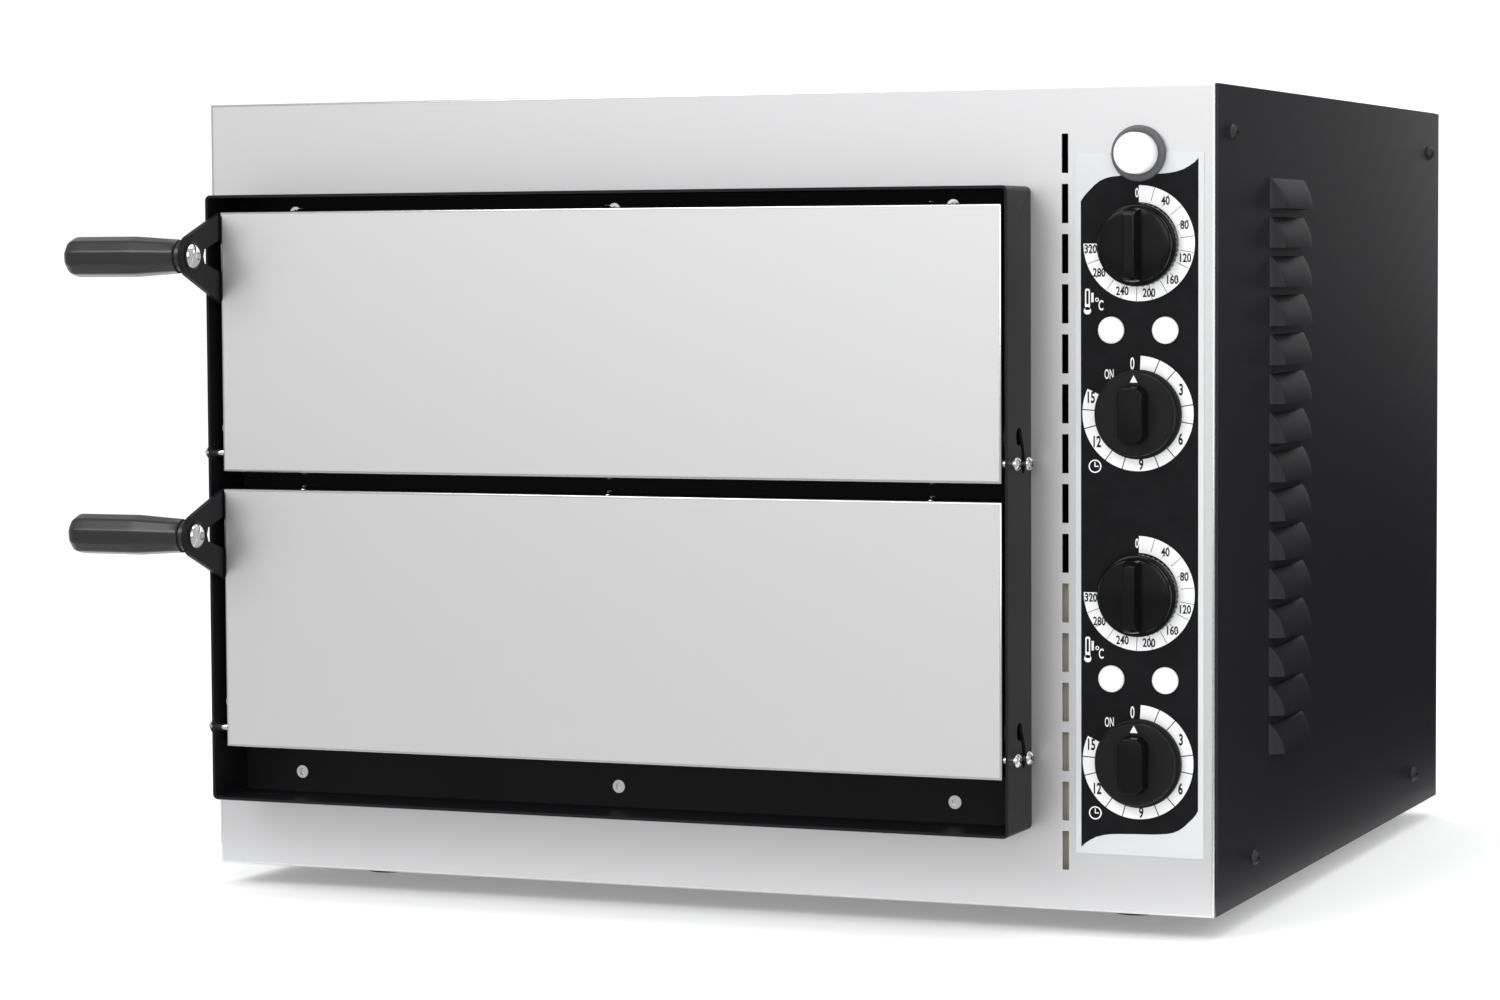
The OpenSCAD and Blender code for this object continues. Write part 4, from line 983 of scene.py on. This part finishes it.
class OVEN_OT_dials(bpy.types.Operator):
    """Builds the thermostats' barred knobs and the timers' flat knobs with their pointers"""

    bl_idname = "oven.dials"
    bl_label = "Dials"
    bl_options = {"REGISTER", "UNDO"}

    def execute(self, context):
        s = sizes()
        face = -1.2
        for deck, lift in zip(DECKS, LIFTS):
            # the thermostat's knob: a ribbed skirt, a shallow dome and a bar across it
            r = s["thermostat_radius"]
            z = 162.0 + lift
            ribs = lambda angle, row: 0.28 * np.cos(angle * 48) * ((row > 1) & (row < 5))
            body = [(0, 0), (r - 0.6, 0), (r - 0.35, 0.4), (r - 0.3, 1.6), (r - 0.3, 3.4), (r - 0.35, 4.6),
                    (r - 0.9, 5.0), (r - 1.5, 5.2), (r - 1.7, 6.0), (r - 1.9, 8.6), (r - 2.5, 9.5),
                    (r - 3.6, 9.9)]
            body += [(q, 9.9 + 0.9 * (1 - (q / (r - 3.6)) ** 2)) for q in (14, 11, 8, 5, 2.5, 0)]
            knob = Shape().shell(turned(body, (CONTROL_X, face, z), (0, -1, 0), 192, ribs))
            reach = r - 2.2
            side = math.degrees(math.asin(4.3 / reach))
            ends = [arc((0, 0), reach, middle - side, middle + side, 9) for middle in (90, 270)]
            outline = np.concatenate(ends) + (CONTROL_X, z)
            rings = []
            for depth, narrow, short in (
                    (6.0, 0.0, 0.0), (12.0, 0.45, 0.5), (16.0, 0.8, 1.4), (18.0, 1.05, 2.4),
                    (18.7, 1.3, 3.1), (19.0, 1.8, 4.2), (19.1, 2.6, 6.0)):
                dx, dz = outline[:, 0] - CONTROL_X, outline[:, 1] - z
                rings.append(np.stack([CONTROL_X + dx * (1 - narrow / 4.3), np.full(len(dx), face - depth),
                                       z + dz * (1 - short / reach)], 1))
            knob.shell(loft(np.stack(rings)))
            name = f"{deck}_thermostat_dial"
            knob.build(name, name, "knob_plastic", ["knob_gloss"], [f"{deck}_thermostat_knob"], smooth=28)
            # the timer's knob: a flat disc with a raised long grip of eight sides
            r = s["timer_radius"]
            z = 77.2 + lift
            disc = [(0, 0), (r - 0.2, 0), (r, 0.3), (r, 2.6), (r - 0.3, 3.0), (r - 1.2, 3.2), (r - 1.5, 3.6),
                    (r - 1.6, 7.6), (r - 1.9, 8.5), (r - 2.6, 9.0), (r - 3.4, 9.1)]
            disc += [(q, 9.1) for q in (16, 12, 6, 0)]
            knob = Shape().shell(turned(disc, (CONTROL_X, face, z), (0, -1, 0), 128))
            half, tall, cut = 7.5, 14.8, 3.6
            eight = [(-half, cut - tall), (cut - half, -tall), (half - cut, -tall), (half, cut - tall),
                     (half, tall - cut), (half - cut, tall), (cut - half, tall), (-half, tall - cut)]
            knob.shell(prism(np.array(eight) + (CONTROL_X, z), face - 8.6, face - 17, 0.9, 5, 0.9), 1)
            tip = np.array([(-2.0, 16.2), (2.0, 16.2), (0, 19.9)]) + (CONTROL_X, z)
            knob.shell(prism(tip, face - 9.0, face - 9.17), 2)
            name = f"{deck}_timer_dial"
            knob.build(name, name, "knob_plastic", ["knob_matte", "knob_gloss", "white_ink"],
                       [f"{deck}_timer_knob"], smooth=28)
        return {"FINISHED"}


class OVEN_OT_lamps(bpy.types.Operator):
    """Builds the four milky pilot lamps, the main switch's bezel and its domed button"""

    bl_idname = "oven.lamps"
    bl_label = "Lamps and switch"
    bl_options = {"REGISTER", "UNDO"}

    def execute(self, context):
        s = sizes()
        lens = Shape()
        r = s["lamp_radius"]
        t = np.linspace(0, math.pi / 2, 14)
        dome = [(r * math.cos(a), 0.9 + 2.3 * math.sin(a)) for a in t]
        dome[-1] = (0, 3.2)
        for lift in LIFTS:
            for side in (-1, 1):
                lens.shell(turned([(0, -3), (6, -3), (6, 0), (r - 0.1, 0), (r, 0.3)] + dome,
                                  (244.6 + side * 14.1, FILM, 119.4 + lift), (0, -1, 0), 64))
        lens.build("pilot_lenses", "cabinet", "white_lens", ["white_lens"], ["pilot_lamp_lenses"])
        low, high = box_mm("switch_bezel")
        z = (low[2] + high[2]) / 2
        r, bore = (high[2] - low[2]) / 2, 10.75
        front = -low[1]
        bezel = [(bore, 0.2), (r - 0.1, 0.2), (r, 0.5), (r, front - 1.1), (r - 0.3, front - 0.45),
                 (r - 0.9, front - 0.05), (r - 1.5, front), (bore + 0.4, front), (bore + 0.1, front - 0.15),
                 (bore, front - 0.5), (bore, 0.2)]
        barrel = [(bore, -14), (12.3, -14), (12.3, 0.1), (bore, 0.1), (bore, -14)]
        middle = (CONTROL_X, 0, z)
        ring = Shape().shell(turned(bezel, middle, (0, -1, 0), 96))
        ring.shell(turned(barrel, middle, (0, -1, 0), 64))
        ring.build("switch_ring", "cabinet", "black_plastic", ["bezel_plastic"], ["switch_bezel"])
        low, high = box_mm("main_switch_button")
        tip, wide = -low[1], (high[0] - low[0]) / 2
        button = [(0, -22), (4, -22), (4, -4), (wide, -4), (wide, tip - 2.6), (wide - 0.25, tip - 1.9),
                  (wide - 0.9, tip - 1.35), (wide - 1.5, tip - 1.2)]
        crown = lambda q: tip - 1.2 + 1.2 * math.sqrt(1 - (q / (wide - 1.5)) ** 2)
        button += [(q, crown(q)) for q in (8.5, 7.6, 6.2, 4.6, 3.0, 1.5, 0)]
        Shape().shell(turned(button, middle, (0, -1, 0), 96)).build(
            "switch_button", "main_switch", "white_lens", ["white_lens"], ["main_switch_button"])
        return {"FINISHED"}


# ---------------------------------------------------------------- stage


def stage_material(name, shade, rough=0.7, glow=0.0):
    """A plain stage finish with a very faint unevenness."""
    material, tree, surface, place = new_material(name)
    noise = put(tree, "ShaderNodeTexNoise", Vector=place.outputs["Object"], Scale=2.0)
    uneven = span(tree, noise.outputs["Fac"], 0.985, 1.015)
    tree.links.new(shaded(tree, (*shade, 1.0), uneven), surface.inputs["Base Color"])
    surface.inputs["Roughness"].default_value = rough
    surface.inputs["Specular IOR Level"].default_value = 0.1
    surface.inputs["Emission Color"].default_value = (*shade, 1.0)
    surface.inputs["Emission Strength"].default_value = glow
    return material


def stage_sheet(name, points, material):
    """A stage surface from a grid of points in metres."""
    flat, faces = grid(points)
    mesh = bpy.data.meshes.new(name)
    mesh.from_pydata(flat.tolist(), [], faces)
    mesh.polygons.foreach_set("use_smooth", np.ones(len(mesh.polygons), bool))
    mesh.materials.append(material)
    piece = add_object(name, mesh)
    return piece


def reflector(name, points, low, high, spans):
    """A glowing card that only reflections see. Its strength goes smoothly from low to high as
    each named coordinate, in metres, crosses its span; the coordinates' shares are multiplied."""
    material, tree, surface, place = new_material(name)
    axes = put(tree, "ShaderNodeSeparateXYZ", Vector=place.outputs["Object"])
    share = None
    for axis, (start, end) in spans.items():
        ramp = put(tree, "ShaderNodeMapRange", interpolation_type="SMOOTHSTEP", Value=axes.outputs[axis],
                   From_Min=start, From_Max=end)
        if share is None:
            share = ramp.outputs[0]
        else:
            product = put(tree, "ShaderNodeMath", operation="MULTIPLY")
            tree.links.new(share, product.inputs[0])
            tree.links.new(ramp.outputs[0], product.inputs[1])
            share = product.outputs[0]
    tree.links.new(span(tree, share, low, high), surface.inputs["Emission Strength"])
    surface.inputs["Emission Color"].default_value = (1, 1, 1, 1)
    surface.inputs["Base Color"].default_value = (0, 0, 0, 1)
    surface.inputs["Specular IOR Level"].default_value = 0.0
    piece = stage_sheet(name, points, material)
    piece.visible_camera = piece.visible_diffuse = piece.visible_shadow = False
    piece.visible_transmission = piece.visible_volume_scatter = False
    return piece


def soft_light(name, place, target, size, power, tone=(1, 1, 1)):
    """A large rectangular lamp facing a point."""
    data = bpy.data.lights.new(name, "AREA")
    data.shape, data.size, data.size_y = "RECTANGLE", size[0], size[1]
    data.energy, data.color = power, tone
    lamp = add_object(name, data)
    lamp.location = place
    lamp.rotation_mode = "QUATERNION"
    lamp.rotation_quaternion = (Vector(place) - Vector(target)).to_track_quat("Z", "Y")
    return lamp


class OVEN_OT_stage(bpy.types.Operator):
    """Sets the pale floor that sweeps up behind, the soft studio light and the camera"""

    bl_idname = "oven.stage"
    bl_label = "Stage"
    bl_options = {"REGISTER", "UNDO"}

    def execute(self, context):
        # the sweep: level floor, a quarter round, and an upright wall
        bend = arc((3.2, 1.2), 1.2, -90, 0, 16)
        profile = np.concatenate([[(-5.0, 0.0), (-1.0, 0.0), (1.0, 0.0)], bend, [(4.4, 5.0)]])
        across = np.linspace(-6, 6, 7)
        points = np.stack([np.repeat(across[:, None], len(profile), 1), np.repeat(profile[None, :, 0], 7, 0),
                           np.repeat(profile[None, :, 1], 7, 0)], -1)
        stage_sheet("floor_sweep", points, stage_material("pale_floor", tint("floor")[:3], 0.75, 0.3))
        # cards that only reflections see: one in front of the doors and one on the floor before it,
        # for the steel; one behind the right side and one on the floor beside it, for the black coat
        upright = lambda y, x0, x1, z1: np.array([[(x, y, z) for z in (0.0, z1)] for x in (x0, x1)])
        level = lambda x0, x1, y0, y1: np.array([[(x, y, 0.002) for y in (y0, y1)] for x in (x0, x1)])
        reflector("front_card", upright(-3.9, -6.0, 3.0, 3.0), 0.54, 1.13, {"X": (-3.2, -0.2)})
        reflector("front_floor_card", level(-6.0, 4.0, -3.9, -0.29), 0.37, 0.58, {"Y": (-1.64, -0.44)})
        reflector("side_card", upright(0.58, 0.332, 1.6, 1.3), 0.01, 0.8,
                  {"X": (0.52, 0.36), "Z": (0.15, 0.5)})
        reflector("side_floor_card", level(0.332, 4.0, -0.2, 3.0), 0.01, 0.02, {"X": (1.0, 3.0)})
        world = bpy.data.worlds.new("studio")
        world.use_nodes = True
        sky = next(n for n in world.node_tree.nodes if n.type == "BACKGROUND")
        sky.inputs["Color"].default_value = (0.92, 0.93, 0.95, 1)
        sky.inputs["Strength"].default_value = 0.62
        context.scene.world = world
        soft_light("key_light", (-1.2, -2.9, 2.5), (0, -0.1, 0.2), (2.4, 1.8), 60)
        soft_light("front_light", (1.3, -3.4, 1.5), (0, -0.1, 0.2), (1.8, 1.8), 26)
        soft_light("top_light", (0.2, 0.3, 2.8), (0, 0, 0.2), (2.2, 2.2), 34)
        soft_light("side_light", (2.9, 0.9, 1.7), (0.3, 0.1, 0.3), (1.0, 1.4), 10)
        # the camera's place from the cabinet's origin, and how far it turns left, dips and rolls
        place = Vector(ORIGIN) + Vector((0.8335, -1.9705, 0.3315))
        turn, dip, roll = 0.38557, 0.058726, -0.0057716
        forward = Vector((-math.sin(turn), math.cos(turn), 0))
        right = Vector((math.cos(turn), math.sin(turn), 0))
        up = Vector((0, 0, 1))
        turned_by = lambda a, b, angle: (a * math.cos(angle) + b * math.sin(angle),
                                         b * math.cos(angle) - a * math.sin(angle))
        forward, up = turned_by(forward, up, -dip)
        right, up = turned_by(right, up, roll)
        data = bpy.data.cameras.new("camera")
        data.lens, data.sensor_width, data.clip_start, data.clip_end = 97.93, 36.0, 0.05, 50.0
        camera = add_object("camera", data)
        camera.matrix_world = Matrix.Translation(place) @ Matrix((right, up, -forward)).transposed().to_4x4()
        context.scene.camera = camera
        context.scene.view_settings.view_transform = "Standard"
        return {"FINISHED"}


# ---------------------------------------------------------------- panel and registration

OPERATORS = (
    OVEN_OT_frame_finishes, OVEN_OT_fascia, OVEN_OT_side_panels, OVEN_OT_frame_screws, OVEN_OT_doors,
    OVEN_OT_handles, OVEN_OT_label, OVEN_OT_dials, OVEN_OT_lamps, OVEN_OT_stage,
)


class OVEN_PT_pieces(bpy.types.Panel):
    """The oven's pieces, sizes and colours"""

    bl_idname = "OVEN_PT_pieces"
    bl_label = "Countertop Pizza Oven"
    bl_space_type = "VIEW_3D"
    bl_region_type = "UI"
    bl_category = "Oven"

    def draw(self, context):
        column = self.layout.column(align=True)
        for kind in OPERATORS:
            column.operator(kind.bl_idname, text=kind.bl_label)
        for group in (context.scene.oven_sizes, context.scene.oven_colours):
            box = self.layout.box()
            for key in type(group).__annotations__:
                box.prop(group, key)


CLASSES = (OvenSizes, OvenColours, *OPERATORS, OVEN_PT_pieces)


def register():
    for kind in CLASSES:
        bpy.utils.register_class(kind)
    bpy.types.Scene.oven_sizes = bpy.props.PointerProperty(type=OvenSizes)
    bpy.types.Scene.oven_colours = bpy.props.PointerProperty(type=OvenColours)


def unregister():
    del bpy.types.Scene.oven_colours
    del bpy.types.Scene.oven_sizes
    for kind in reversed(CLASSES):
        bpy.utils.unregister_class(kind)


def main():
    """Builds every piece in order."""
    register()
    for kind in OPERATORS:
        getattr(bpy.ops.oven, kind.bl_idname.split(".")[1])()


if __name__ == "__main__":
    main()
